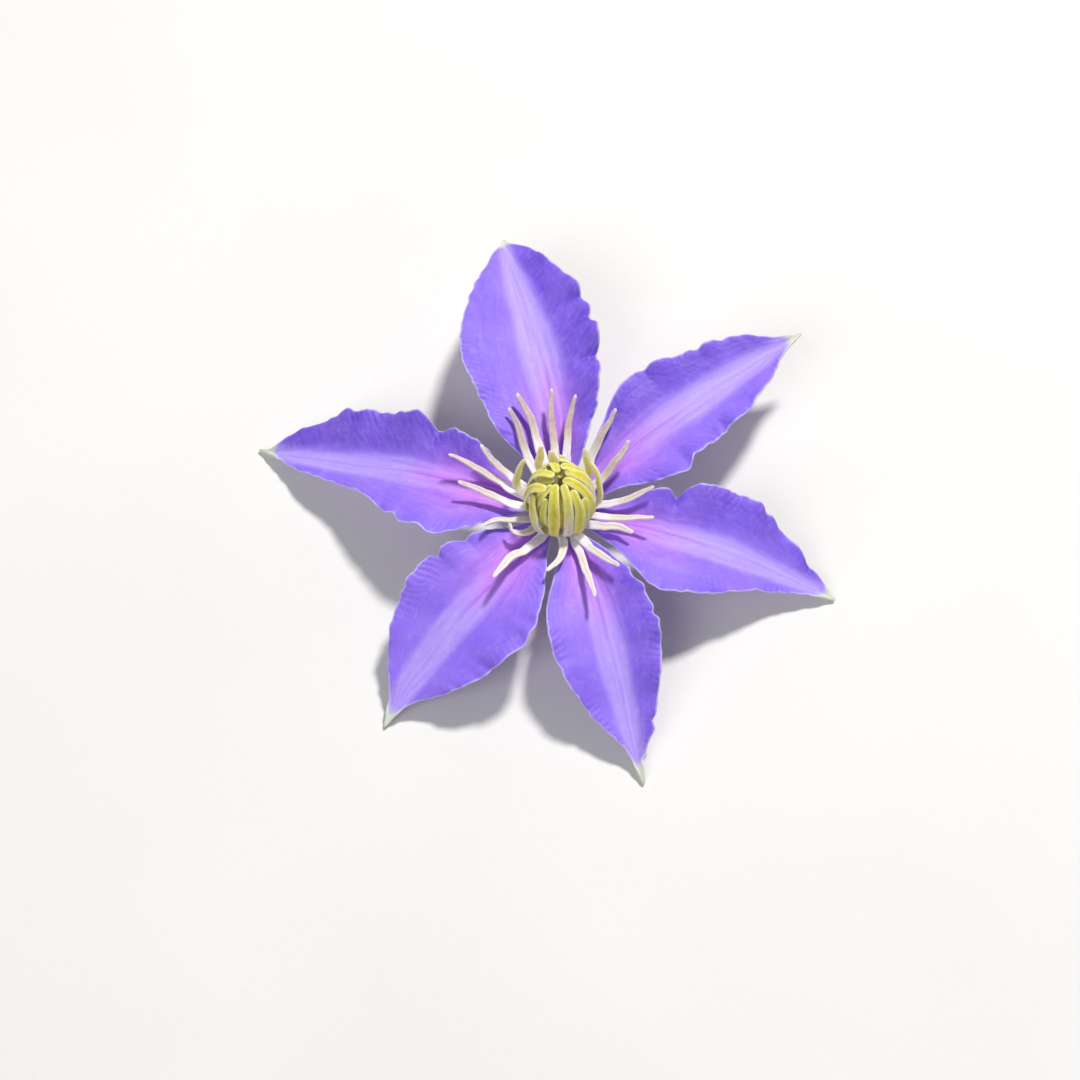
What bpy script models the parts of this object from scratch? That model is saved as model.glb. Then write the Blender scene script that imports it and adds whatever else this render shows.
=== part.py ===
"""Clematis flower, as picked and laid on a table, about 90 mm across.

Metres, +Z up. The flower faces up. It stands on the tips of four of its six
tepals and on the cut end of its short, bent pedicel. The origin is at the
middle of the flower's footprint, on the table. +X is the flower's right and
-Y its front, the side from which the boss of stamens is seen.

Pieces: six tepals round a receptacle that is one grown piece with its
pedicel, spreading outer stamens, a few half-raised ones, the boss of incurved
inner stamens, and the head of carpels with their styles inside the boss.
"""

import math

import bpy
import numpy as np

MM = 0.001

# ---- driving dimensions, in millimetres ------------------------------------
ATTACH_Z = 8.4  # height of the tepals' bases above the table
ATTACH_R = 3.3  # radius at which the tepals join the receptacle
TEPAL_MID_T = 0.50  # tepal thickness along the midrib
TEPAL_EDGE_T = 0.30  # tepal thickness at the margin
BAR_SHARE = 0.20  # half-width of the flat central bar, as a share of the blade's
BLADE_SLOPE = 0.42  # how steeply the blade rises beside the bar
MARGIN_EASE = 0.06  # how much it flattens again towards the margin
TEPAL_ALONG, TEPAL_ACROSS = 24, 10  # mesh steps

RECEPTACLE_R = 2.9
RECEPTACLE_TOP_Z = 11.5
PEDICEL_R = 1.0

STAMEN_SIDES, STAMEN_RINGS = 6, 8
# (share of the length, share of the width): a spreading stamen is broad low on
# its filament; one of the boss is broad along its anther.
SPREADING_SHAPE = ((0, 0.55), (0.12, 0.82), (0.30, 1.0), (0.60, 0.82), (0.92, 0.58), (1, 0.25))
RAISED_SHAPE = ((0, 0.6), (0.25, 0.85), (0.55, 1.0), (0.75, 0.92), (0.92, 0.6), (1, 0.25))
BOSS_SHAPE = ((0, 0.42), (0.2, 0.70), (0.45, 0.95), (0.7, 1.0), (0.92, 0.84), (1, 0.5))
STAMEN_T = 0.52  # thickness of a stamen's strap
OUTER_WIDTH = 1.35
OUTER_ROOT_R = 3.15

CLAW_HALF = 1.3  # half-width of a tepal's base
POINT_HALF = 0.35  # half-width of its very point
RESTING = (9.0, 7.4, 3.8, 0.5)  # heights of an arching midrib at each quarter

# bearing: direction of the tip from the base, in degrees; base: bearing of the
# base on the receptacle; length: base to tip, seen from above; leaves and
# arrives: how far the midrib is turned left of that straight line at its base
# and at its tip. heights: of the midrib at each quarter. left and right: the
# margins, seen from the base with the face up, as (share of the length,
# half-width). waves: (cycles, phase, height) of the margin's large folds on the
# left and right. trough: how steep the left and right blades are beside the
# others'. rests: the tip lies on the table.
TEPALS = {
    "tepal_back": dict(
        base=95, bearing=100.5, length=45.5, leaves=-16, arrives=0, heights=(9.6, 10.4, 10.5, 9.9),
        left=((0.10, 5.0), (0.20, 9.0), (0.32, 10.5), (0.54, 12.0), (0.74, 8.5), (0.90, 3.5)),
        right=((0.12, 3.5), (0.32, 7.0), (0.56, 9.0), (0.76, 7.5), (0.92, 3.5)),
        waves=((5.0, 0.4, 0.35), (5.5, 2.2, 0.75)),
        trough=(1.0, 1.35),
        rests=False,
    ),
    "tepal_back_right": dict(
        base=38, bearing=39.5, length=44.0, leaves=8, arrives=-4, heights=(9.3, 9.8, 9.9, 10.6),
        left=((0.12, 3.0), (0.42, 8.5), (0.60, 7.0), (0.80, 5.0), (0.94, 1.2)),
        right=((0.12, 4.0), (0.30, 9.0), (0.42, 8.0), (0.56, 7.5), (0.78, 4.5), (0.92, 1.2)),
        waves=((6.0, 1.0, 0.40), (6.5, 3.0, 0.50)),
        trough=(1.3, 0.8),
        rests=False,
    ),
    "tepal_right": dict(
        base=-19.5, bearing=-14.5, length=38.8, leaves=-5, arrives=-5, heights=RESTING,
        left=((0.12, 3.5), (0.30, 6.5), (0.58, 9.0), (0.76, 6.0), (0.92, 2.0)),
        right=((0.12, 3.5), (0.36, 10.5), (0.48, 9.5), (0.64, 6.0), (0.86, 2.0)),
        waves=((5.0, 0.2, 0.65), (4.5, 1.4, 0.30)),
        trough=(1.1, 0.8),
        rests=True,
    ),
    "tepal_front": dict(
        base=-74.5, bearing=-74, length=40.2, leaves=7, arrives=0, heights=RESTING,
        left=((0.12, 3.0), (0.32, 6.5), (0.48, 7.5), (0.72, 5.0), (0.83, 3.2), (0.91, 1.0)),
        right=((0.12, 3.0), (0.36, 8.0), (0.52, 8.5), (0.76, 4.5), (0.89, 1.0)),
        waves=((6.0, 2.6, 0.55), (5.0, 0.9, 0.30)),
        trough=(1.2, 0.9),
        rests=True,
    ),
    "tepal_front_left": dict(
        base=-131, bearing=-128, length=38.0, leaves=8, arrives=10, heights=RESTING,
        left=((0.12, 3.5), (0.32, 9.0), (0.42, 11.0), (0.54, 10.5), (0.74, 7.0), (0.90, 1.5)),
        right=((0.12, 4.2), (0.30, 7.7), (0.50, 9.5), (0.74, 6.0), (0.90, 1.5)),
        waves=((5.5, 1.8, 0.35), (6.0, 0.5, 0.35)),
        trough=(0.9, 1.0),
        rests=True,
    ),
    "tepal_left": dict(
        base=160.5, bearing=161, length=44.8, leaves=4, arrives=-5, heights=RESTING,
        left=((0.11, 5.0), (0.20, 8.8), (0.28, 10.9), (0.42, 9.5), (0.58, 5.5), (0.82, 2.8), (0.95, 0.6)),
        right=((0.12, 3.5), (0.34, 7.5), (0.50, 8.5), (0.76, 7.0), (0.90, 3.0), (0.95, 0.8)),
        waves=((5.0, 2.9, 0.30), (4.5, 0.8, 0.80)),
        trough=(0.9, 1.3),
        rests=True,
    ),
}

# Spreading outer stamens, clockwise from the back left: tier of the root (the
# upper tier sits inside the lower one), bearing of the root, bearings a third
# and two thirds of the way out and at the tip, radius that the tip reaches, how
# far the stamen rises to it, and how far the tip curls back.
OUTER = (
    (0, 126, (123, 118, 117), 16.7, 4.0, 0),
    (1, 110, (109, 108, 110), 18.5, 3.7, 0),
    (0, 94, (94, 95, 94), 18.1, 4.4, 0),
    (1, 79, (82, 84, 82), 17.1, 3.9, 0),
    (0, 57, (57, 60, 60), 16.8, 4.2, 0),
    (1, 27, (28, 35, 40), 13.3, 4.3, 0),
    (0, -3, (-2, 0, 5), 13.9, 3.6, 0),
    (1, -27, (-24, -20, -16), 14.3, 2.9, 0),
    (0, -43, (-38, -30, -31), 12.5, 3.0, 0),
    (1, -64, (-65, -60, -55), 15.0, 2.7, 0),
    (0, -73, (-72, -73, -74), 18.1, 3.0, 0),
    (1, -92, (-87, -89, -99), 13.3, 2.7, 0),
    (0, -112, (-118, -125, -124), 17.3, 3.4, 0),
    (1, -128, (-129, -134, -147), 11.5, 2.6, 2.6),
    (0, -147, (-151, -157, -153), 12.5, 3.6, 0),
    (1, -167, (-177, -185, -188), 15.2, 3.1, 0),
    (0, 170, (161, 157, 158), 17.8, 3.8, 0),
    (1, 153, (152, 150, 145), 14.3, 3.7, 0),
)

# Half-raised stamens between the spreading ones and the boss: how far the
# strap is turned about its length, the bearings of its root and its tip, the
# radius where it turns upward, and the radius and height of its tip.
RAISED = (
    (35, -9, 34, 5.9, 5.4, 16.7),
    (30, 41, 53, 6.0, 5.9, 17.5),
    (0, 82, 88, 5.2, 4.4, 16.0),
    (-15, 120, 116, 6.3, 6.2, 16.9),
    (-10, 97, 107, 5.6, 5.0, 16.7),
    (-40, 165, 147, 6.9, 6.2, 16.7),
)
RAISED_WIDTH = 1.2
RAISED_ROOT_R = 2.75

# The boss of incurved inner stamens, in two rings. Each ring has one profile of
# (radius, height), and a row for each stamen: azimuth of its root, how far it
# swings round on its way up, how far its tip bends aside, how much of the
# profile it runs through, and its width. Both turns are anticlockwise from above.
BOSS = {
    "boss_stamen_a": (
        (
            (2.0, 11.0), (3.4, 10.8), (4.4, 11.0), (5.0, 12.2), (4.9, 14.4), (4.25, 16.4), (3.2, 17.7),
            (1.9, 18.3), (0.3, 18.3),
        ),
        (
            (-117, -42, 0, 0.66, 1.50), (-100, 0, -0.5, 0.95, 1.35), (-79, 12, 0, 0.94, 1.25),
            (-60, 14, 0, 0.83, 1.30), (-43, 10, 0, 0.67, 1.25), (-18, -1, 0, 0.99, 1.35),
            (1, 10, 1.1, 0.95, 1.45), (22, 12, 1.7, 0.93, 1.55), (49, 0, 2.6, 0.82, 1.55),
            (82, 4, 0, 0.70, 1.20), (103, 2, 0, 0.94, 1.25), (125, -2, 0, 0.72, 1.35), (150, 0, 0, 0.96, 1.40),
            (174, 2, 2.1, 0.88, 1.40),
        ),
    ),
    "boss_stamen_b": (
        ((1.7, 11.8), (2.9, 11.8), (3.7, 12.2), (4.1, 13.6), (3.95, 15.0), (3.3, 16.3), (2.4, 17.1), (1.0, 17.5)),
        (
            (-122, -8, 0, 0.72, 1.15), (-85, 2, 0, 0.88, 1.10), (-56, 10, 0.4, 0.90, 1.20),
            (-33, 10, 0, 0.80, 1.10), (-12, 8, 0, 0.90, 1.20), (10, 12, 0.5, 0.88, 1.15),
            (33, 10, 0.4, 0.78, 1.10), (59, 8, 0, 0.85, 1.10), (85, 4, 0, 0.95, 1.15),
            (112, -2, 0, 0.87, 1.15), (137, -6, 0, 0.93, 1.15), (166, -4, 0, 0.95, 1.20),
            (-153, 4, 0, 0.92, 1.25),
        ),
    ),
}
BOSS_LEAN = (-0.1, -2.2, 0.145)  # the boss sits to the front: x, y, and y per mm above its foot
BOSS_FOOT_Z = 10.6
BOSS_HEART = (-0.1, -0.2, 13.8)  # the point inside it that its straps' faces turn away from


def through(stations, values):
    """A smooth curve through values at stations: a cubic with central slopes."""
    x = np.asarray(stations, float)
    y = np.asarray(values, float)
    y = y.reshape(len(x), -1)
    slope = np.empty_like(y)
    chord = np.diff(y, axis=0) / np.diff(x)[:, None]
    slope[0], slope[-1] = chord[0], chord[-1]
    h = np.diff(x)[:, None]
    slope[1:-1] = (chord[:-1] * h[1:] + chord[1:] * h[:-1]) / (h[1:] + h[:-1])

    def at(t):
        t = np.clip(np.atleast_1d(np.asarray(t, float)), x[0], x[-1])
        i = np.clip(np.searchsorted(x, t, side="right") - 1, 0, len(x) - 2)
        w = (x[i + 1] - x[i])[:, None]
        u = (t - x[i])[:, None] / w
        return (
            (2 * u**3 - 3 * u**2 + 1) * y[i]
            + (u**3 - 2 * u**2 + u) * w * slope[i]
            + (-2 * u**3 + 3 * u**2) * y[i + 1]
            + (u**3 - u**2) * w * slope[i + 1]
        )

    return at


def unit(v):
    return v / np.linalg.norm(v, axis=-1, keepdims=True)


def midrib(tepal):
    """The midrib: a curve that leaves the base and arrives at the tip turned
    from the straight line between them, and rises and falls over its heights."""
    base, bearing = math.radians(tepal["base"]), math.radians(tepal["bearing"])
    start = ATTACH_R * np.array([math.cos(base), math.sin(base)])
    ahead = np.array([math.cos(bearing), math.sin(bearing)])
    leftward = np.array([-ahead[1], ahead[0]])
    leaves, arrives = math.tan(math.radians(tepal["leaves"])), math.tan(math.radians(tepal["arrives"]))
    height = through(np.linspace(0, 1, 5), (ATTACH_Z, *tepal["heights"]))

    def at(s):
        s = np.atleast_1d(np.asarray(s, float))
        bow = leaves * (s**3 - 2 * s**2 + s) + arrives * (s**3 - s**2)
        flat = start + tepal["length"] * (s[:, None] * ahead + bow[:, None] * leftward)
        return np.column_stack([flat, height(s)])

    return at


def margin(rows):
    """Half-width along one side of a tepal, from its claw to its point."""
    return through(*zip((0, CLAW_HALF), *rows, (1, POINT_HALF)))


def tepal_surface(tepal, s, v):
    """Points of the tepal's middle surface and its normals there. s runs from
    base to tip and v from -1, the right margin, to 1, the left one."""
    mid = midrib(tepal)
    left, right = margin(tepal["left"]), margin(tepal["right"])

    def point(s, v):
        m = mid(s)
        along = unit(mid(np.minimum(s + 0.01, 1)) - mid(np.maximum(s - 0.01, 0)))
        across = unit(np.cross(np.array([0.0, 0.0, 1.0]), along))
        up = np.cross(along, across)
        side = np.abs(v)
        half = np.where(v > 0, left(s)[:, 0], right(s)[:, 0])
        a = side * half
        (lc, lp, lh), (rc, rp, rh) = tepal["waves"]
        fade = np.sin(math.pi * np.clip(s, 0, 1)) ** 0.6
        folds = np.where(
            v > 0,
            lh * np.sin(2 * math.pi * lc * s + lp),
            rh * np.sin(2 * math.pi * rc * s + rp),
        )
        steep = np.where(v > 0, *tepal["trough"]) * np.clip(s / 0.2, 0, 1)
        out = side - BAR_SHARE
        ramp = (np.hypot(out, 0.08) + out - math.hypot(BAR_SHARE, 0.08) + BAR_SHARE) / 2
        rise = half * steep * (BLADE_SLOPE * ramp - MARGIN_EASE * side**3)
        rise += folds * fade * side**2.2
        return m + across * (np.sign(v) * a)[:, None] + up * rise[:, None]

    e = 0.004
    p = point(s, v)
    ds = point(np.minimum(s + e, 1), v) - point(np.maximum(s - e, 0), v)
    dv = point(s, np.clip(v + e, -1, 1)) - point(s, np.clip(v - e, -1, 1))
    return p, unit(np.cross(ds, dv))


def lay_down(tepal):
    """Lowers or raises a resting tepal's tip until its underside meets the table."""
    share = np.linspace(0.25, 1, 4) ** 2
    for _ in range(7):
        points, _ = tepal_solid(tepal)
        tepal["heights"] = tuple(np.array(tepal["heights"]) - points[:, 2].min() * share)


def grid_faces(rows, columns, start=0, turned=False):
    faces = []
    for i in range(rows - 1):
        for j in range(columns - 1):
            a = start + i * columns + j
            quad = (a, a + 1, a + columns + 1, a + columns)
            faces.append(quad[::-1] if turned else quad)
    return faces


def tepal_solid(tepal):
    """(points in mm, faces) of the tepal as a closed sheet of real thickness."""
    rows, columns = TEPAL_ALONG + 1, TEPAL_ACROSS + 1
    s, v = np.meshgrid(np.linspace(0, 1, rows), np.linspace(1, -1, columns), indexing="ij")
    s, v = s.ravel(), v.ravel()
    p, n = tepal_surface(tepal, s, v)
    n *= np.where(n[:, 2:3] < 0, -1, 1)
    t = TEPAL_EDGE_T + (TEPAL_MID_T - TEPAL_EDGE_T) * (1 - np.abs(v) ** 1.5)
    points = np.vstack([p + n * t[:, None] / 2, p - n * t[:, None] / 2])
    k = rows * columns
    faces = grid_faces(rows, columns) + grid_faces(rows, columns, k, True)
    for i in range(rows - 1):
        a, b = i * columns, (i + 1) * columns
        faces.append((a, b, b + k, a + k))
        a, b = a + columns - 1, b + columns - 1
        faces.append((b, a, a + k, b + k))
    for j in range(columns - 1):
        faces.append((j + 1, j, j + k, j + 1 + k))
        a = (rows - 1) * columns + j
        faces.append((a, a + 1, a + 1 + k, a + k))
    return points, faces


def strap(points, widths, thicknesses, sides, across):
    """A closed strap of oval section swept along points, its width lying along
    across: (points, faces)."""
    points = np.asarray(points, float)
    along = unit(np.gradient(points, axis=0))
    across = unit(across - along * (across * along).sum(-1, keepdims=True))
    up = np.cross(along, across)
    turn = np.linspace(0, 2 * math.pi, sides, endpoint=False)
    rings = [
        p + np.outer(np.cos(turn) * w / 2, x) + np.outer(np.sin(turn) * t / 2, y)
        for p, x, y, w, t in zip(points, across, up, widths, thicknesses)
    ]
    faces = []
    for i in range(len(points) - 1):
        for j in range(sides):
            a, b = i * sides + j, i * sides + (j + 1) % sides
            faces.append((a, b, b + sides, a + sides))
    faces.append(tuple(range(sides))[::-1])
    last = (len(points) - 1) * sides
    faces.append(tuple(last + j for j in range(sides)))
    return np.vstack(rings), faces


def polar(route):
    """Points of (radius, azimuth in degrees, height) rows."""
    r, a, z = np.asarray(route, float).T
    a = np.radians(a)
    return np.stack([r * np.cos(a), r * np.sin(a), z], -1)


def along_path(points, shares):
    """Points at shares of the length of a smooth path through points."""
    points = np.asarray(points, float)
    steps = np.concatenate([[0], np.cumsum(np.linalg.norm(np.diff(points, axis=0), axis=1))])
    at = through(steps / steps[-1], points)
    fine = at(np.linspace(0, 1, 200))
    run = np.concatenate([[0], np.cumsum(np.linalg.norm(np.diff(fine, axis=0), axis=1))])
    return at(np.interp(np.asarray(shares) * run[-1], run, np.linspace(0, 1, 200)))


def stamen(points, widest, shape, rings=STAMEN_RINGS, turned=0.0, heart=None):
    """A stamen along a path, root to tip, that ends in a round tip. shape:
    (share of its length, share of its width) pairs. turned: degrees about its
    length from lying with its face away from the flower's axis. heart: a point
    that its face turns away from instead."""
    share = np.linspace(0, 1, rings)
    share[-2] = 0.955
    width = through(*zip(*shape))
    thick = through((0, 0.5, 0.9, 1), (0.9, 1.0, 1.0, 0.5))
    path = along_path(points, share)
    along = unit(np.gradient(path, axis=0))
    if heart is None:
        across = np.stack([-path[:, 1], path[:, 0], 0 * path[:, 0]], -1)
    else:
        across = np.cross(along, path - np.array(heart))
    across = unit(across - along * (across * along).sum(-1, keepdims=True))
    turn = np.radians(turned) * np.clip(share / 0.4, 0, 1)[:, None]
    across = across * np.cos(turn) + np.cross(along, across) * np.sin(turn)
    return strap(
        path,
        width(share)[:, 0] * widest,
        thick(share)[:, 0] * STAMEN_T,
        STAMEN_SIDES,
        across,
    )


def outer_path(tier, azimuth, bearings, reach, rise, curl):
    """From the root outward, rising a little faster towards the tip."""
    root = OUTER_ROOT_R - 0.1 * tier
    t = np.array([0, 0.25, 0.5, 0.7, 0.85, 1])
    bearing = through((0, 1 / 3, 2 / 3, 1), (azimuth, *bearings))(t)[:, 0]
    radius = root + (reach - root) * t - curl * t**6
    return polar(np.column_stack([radius, bearing, 9.2 + 0.5 * tier + rise * t**1.15]))


def raised_path(azimuth, tip_azimuth, knee, tip_radius, tip_z):
    """Outward from the root, round a knee, and up, drawn in towards the tip."""
    t = np.array([0.22, 0.42, 0.62, 0.82, 1])
    rows = np.column_stack([
        knee + (tip_radius - knee) * t**3,
        azimuth + (tip_azimuth - azimuth) * t,
        10.6 + (tip_z - 10.6) * (1.2 * t - 0.2 * t**2),
    ])
    return polar(np.vstack([(RAISED_ROOT_R, azimuth, 10.3), (knee - 1.0, azimuth, 10.6), rows]))


def boss_path(profile, azimuth, swing, aside, reach):
    """Up the boss's side and in over its top, on the boss's leaning axis."""
    profile = np.array(profile)
    share = np.linspace(0, 1, 9)
    rz = along_path(np.column_stack([profile, 0 * profile[:, 0]]), share * reach)
    bearing = azimuth + swing * share**1.5
    path = polar(np.column_stack([rz[:, 0], bearing, rz[:, 1]]))
    path += (aside * share**4)[:, None] * polar(np.column_stack([0 * share + 1, bearing + 90, 0 * share]))
    x, y, slope = BOSS_LEAN
    settle = np.clip(share / 0.3, 0, 1)
    path[:, 0] += settle * x
    path[:, 1] += settle * (y + slope * (path[:, 2] - BOSS_FOOT_Z))
    return path


def axis_piece():
    """The receptacle with its pedicel: one swept body that starts at the cut
    end on the table behind the flower, bends up under it, and widens into the
    receptacle's dome."""
    # (x, y, z, radius)
    route = (
        (-1.5, 24.0, PEDICEL_R + 0.02, PEDICEL_R),
        (-1.2, 19.0, PEDICEL_R + 0.05, PEDICEL_R),
        (-0.9, 14.0, PEDICEL_R + 0.15, PEDICEL_R),
        (-0.6, 9.0, 1.55, PEDICEL_R),
        (-0.35, 5.0, 2.5, PEDICEL_R),
        (-0.15, 2.2, 4.0, PEDICEL_R),
        (0.0, 0.55, 5.7, 1.08),
        (0.0, 0.1, 6.9, 1.3),
        (0.0, 0.0, 7.6, 1.9),
        (0.0, 0.0, 8.1, 2.6),
        (0.0, 0.0, 8.7, RECEPTACLE_R),
        (0.0, 0.0, 9.3, RECEPTACLE_R),
        (0.0, 0.0, 9.9, 2.6),
        (0.0, 0.0, 10.5, 2.1),
        (0.0, 0.0, RECEPTACLE_TOP_Z - 0.35, 1.5),
        (0.0, 0.0, RECEPTACLE_TOP_Z, 0.7),
    )
    route = np.array(route)
    at = through(np.arange(len(route)), route)
    steps = np.concatenate([np.arange(0, 7, 0.5), np.arange(7, len(route))])
    q = at(steps)
    q[-1, 3] = 0.7
    across = np.tile([1.0, 0.0, 0.0], (len(q), 1))
    return strap(q[:, :3], 2 * q[:, 3], 2 * q[:, 3], 12, across)


def pistil():
    """The head of carpels on the receptacle's top, with their styles drawn
    together into one fluted sheaf inside the boss."""
    z0 = RECEPTACLE_TOP_Z + 0.06
    heights = (z0, z0 + 0.4, z0 + 1.1, z0 + 2.2, z0 + 3.6, z0 + 4.7, z0 + 5.2)
    radii = (0.65, 0.98, 1.08, 1.0, 1.05, 0.98, 0.5)
    sides = 14
    rings = []
    for z, r in zip(heights, radii):
        a = np.linspace(0, 2 * math.pi, sides, endpoint=False) + 0.06 * (z - z0)
        flute = r * (1 + 0.10 * np.cos(7 * (a - 0.06 * (z - z0))))
        lean = -1.25 * (z - z0) / 5.2
        rings.append(np.stack([flute * np.cos(a), flute * np.sin(a) + lean, z + 0 * a], -1))
    faces = []
    for i in range(len(heights) - 1):
        for j in range(sides):
            a, b = i * sides + j, i * sides + (j + 1) % sides
            faces.append((a, b, b + sides, a + sides))
    faces.append(tuple(range(sides))[::-1])
    last = (len(heights) - 1) * sides
    faces.append(tuple(last + j for j in range(sides)))
    return np.vstack(rings), faces


def solid_pieces():
    """{name: (points, faces, material)} in millimetres, before they are placed."""
    made = {}
    for name, tepal in TEPALS.items():
        if tepal["rests"]:
            lay_down(tepal)
        made[name] = (*tepal_solid(tepal), "tepal")
    points, faces = axis_piece()
    points[:, 2] -= points[:, 2].min()
    made["pedicel_and_receptacle"] = (points, faces, "stem")
    made["carpels_and_styles"] = (*pistil(), "style")
    for i, row in enumerate(OUTER):
        made[f"spreading_stamen_{i + 1:02d}"] = (*stamen(outer_path(*row), OUTER_WIDTH, SPREADING_SHAPE), "filament")
    for i, (turned, *row) in enumerate(RAISED):
        made[f"raised_stamen_{i + 1}"] = (*stamen(raised_path(*row), RAISED_WIDTH, RAISED_SHAPE, 9, turned), "filament")
    for ring, (profile, rows) in BOSS.items():
        for i, (*row, width) in enumerate(rows):
            path = boss_path(profile, *row)
            made[f"{ring}_{i + 1:02d}"] = (*stamen(path, width, BOSS_SHAPE, 9, heart=BOSS_HEART), "anther")
    return made


def material(name, colour, roughness):
    m = bpy.data.materials.new(name)
    m.use_nodes = True
    shader = m.node_tree.nodes["Principled BSDF"]
    shader.inputs["Base Color"].default_value = (*colour, 1)
    shader.inputs["Roughness"].default_value = roughness
    shader.inputs["Metallic"].default_value = 0
    return m


def main():
    for o in list(bpy.data.objects):
        bpy.data.objects.remove(o)
    finish = {
        "tepal": material("tepal", (0.27, 0.14, 0.78), 0.55),
        "stem": material("stem", (0.16, 0.25, 0.06), 0.6),
        "style": material("style", (0.62, 0.60, 0.30), 0.6),
        "filament": material("filament", (0.80, 0.74, 0.66), 0.55),
        "anther": material("anther", (0.72, 0.63, 0.16), 0.6),
    }
    made = solid_pieces()
    low = np.min([p.min(0) for p, _, _ in made.values()], axis=0)
    high = np.max([p.max(0) for p, _, _ in made.values()], axis=0)
    origin = np.array([(low[0] + high[0]) / 2, (low[1] + high[1]) / 2, low[2]])
    for name, (points, faces, finish_name) in made.items():
        mesh = bpy.data.meshes.new(name)
        mesh.from_pydata(((points - origin) * MM).tolist(), [], faces)
        mesh.materials.append(finish[finish_name])
        mesh.shade_smooth()
        mesh.update()
        o = bpy.data.objects.new(name, mesh)
        bpy.context.scene.collection.objects.link(o)


main()
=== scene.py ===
"""The looks of a clematis flower, laid face up on a pale floor.

Lengths in the tables are millimetres, in the flower's own frame: its axis at
x = y = 0, the table at z = 0, the face up, -y to the front. ORIGIN moves them
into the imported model's frame. Each piece follows the same route, widths and
rules as its CAD node and adds what the CAD leaves out: the crinkled margins,
veins and ribs of the tepals, the pollen sacs of the stamens, the ridges and
down of the stalk.
"""

import math

import bpy
import numpy as np
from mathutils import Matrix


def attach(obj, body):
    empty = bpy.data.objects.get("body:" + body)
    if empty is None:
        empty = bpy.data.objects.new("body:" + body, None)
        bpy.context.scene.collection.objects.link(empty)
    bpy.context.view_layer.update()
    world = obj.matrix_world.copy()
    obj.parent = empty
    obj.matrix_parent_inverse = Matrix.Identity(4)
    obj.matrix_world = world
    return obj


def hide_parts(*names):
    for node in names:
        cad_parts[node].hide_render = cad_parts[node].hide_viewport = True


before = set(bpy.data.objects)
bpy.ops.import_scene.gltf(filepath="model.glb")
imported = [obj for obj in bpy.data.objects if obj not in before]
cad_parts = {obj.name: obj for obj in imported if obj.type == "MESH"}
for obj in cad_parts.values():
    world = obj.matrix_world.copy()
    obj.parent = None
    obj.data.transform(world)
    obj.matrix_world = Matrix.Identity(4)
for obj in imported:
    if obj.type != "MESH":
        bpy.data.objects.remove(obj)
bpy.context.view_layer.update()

MM = 0.001
ORIGIN = np.array([-2.403, 3.067, 0.0])

# ---------------------------------------------------------------------------
# Tables shared with the CAD
# ---------------------------------------------------------------------------
ATTACH_Z = 8.4  # height of the tepals' bases above the table
ATTACH_R = 3.3  # radius at which the tepals join the receptacle
CLAW_HALF = 1.3  # half-width of a tepal's base
POINT_HALF = 0.35  # half-width of its very point
BAR_SHARE = 0.20  # half-width of the flat central bar, as a share of the blade's
BLADE_SLOPE = 0.42  # how steeply the blade rises beside the bar
MARGIN_EASE = 0.06  # how much it flattens again towards the margin
TEPAL_MID_T = 0.46
TEPAL_EDGE_T = 0.24
STAMEN_T = 0.52  # thickness of a stamen's strap
BOSS_SHAPE = ((0, 0.42), (0.2, 0.70), (0.45, 0.95), (0.7, 1.0), (0.92, 0.84), (1, 0.5))
RAISED_SHAPE = ((0, 0.6), (0.25, 0.85), (0.55, 1.0), (0.75, 0.92), (0.92, 0.6), (1, 0.25))
SPREADING_SHAPE = ((0, 0.55), (0.12, 0.82), (0.30, 1.0), (0.60, 0.82), (0.92, 0.58), (1, 0.25))
OUTER_WIDTH = 1.35
RAISED_WIDTH = 1.2
RAISED_ROOT_R = 2.75
OUTER_ROOT_R = 3.15
RECEPTACLE_R = 2.9
RECEPTACLE_TOP_Z = 11.5
PEDICEL_R = 1.0
RESTING = (9.0, 7.4, 3.8, 0.5)

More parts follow.
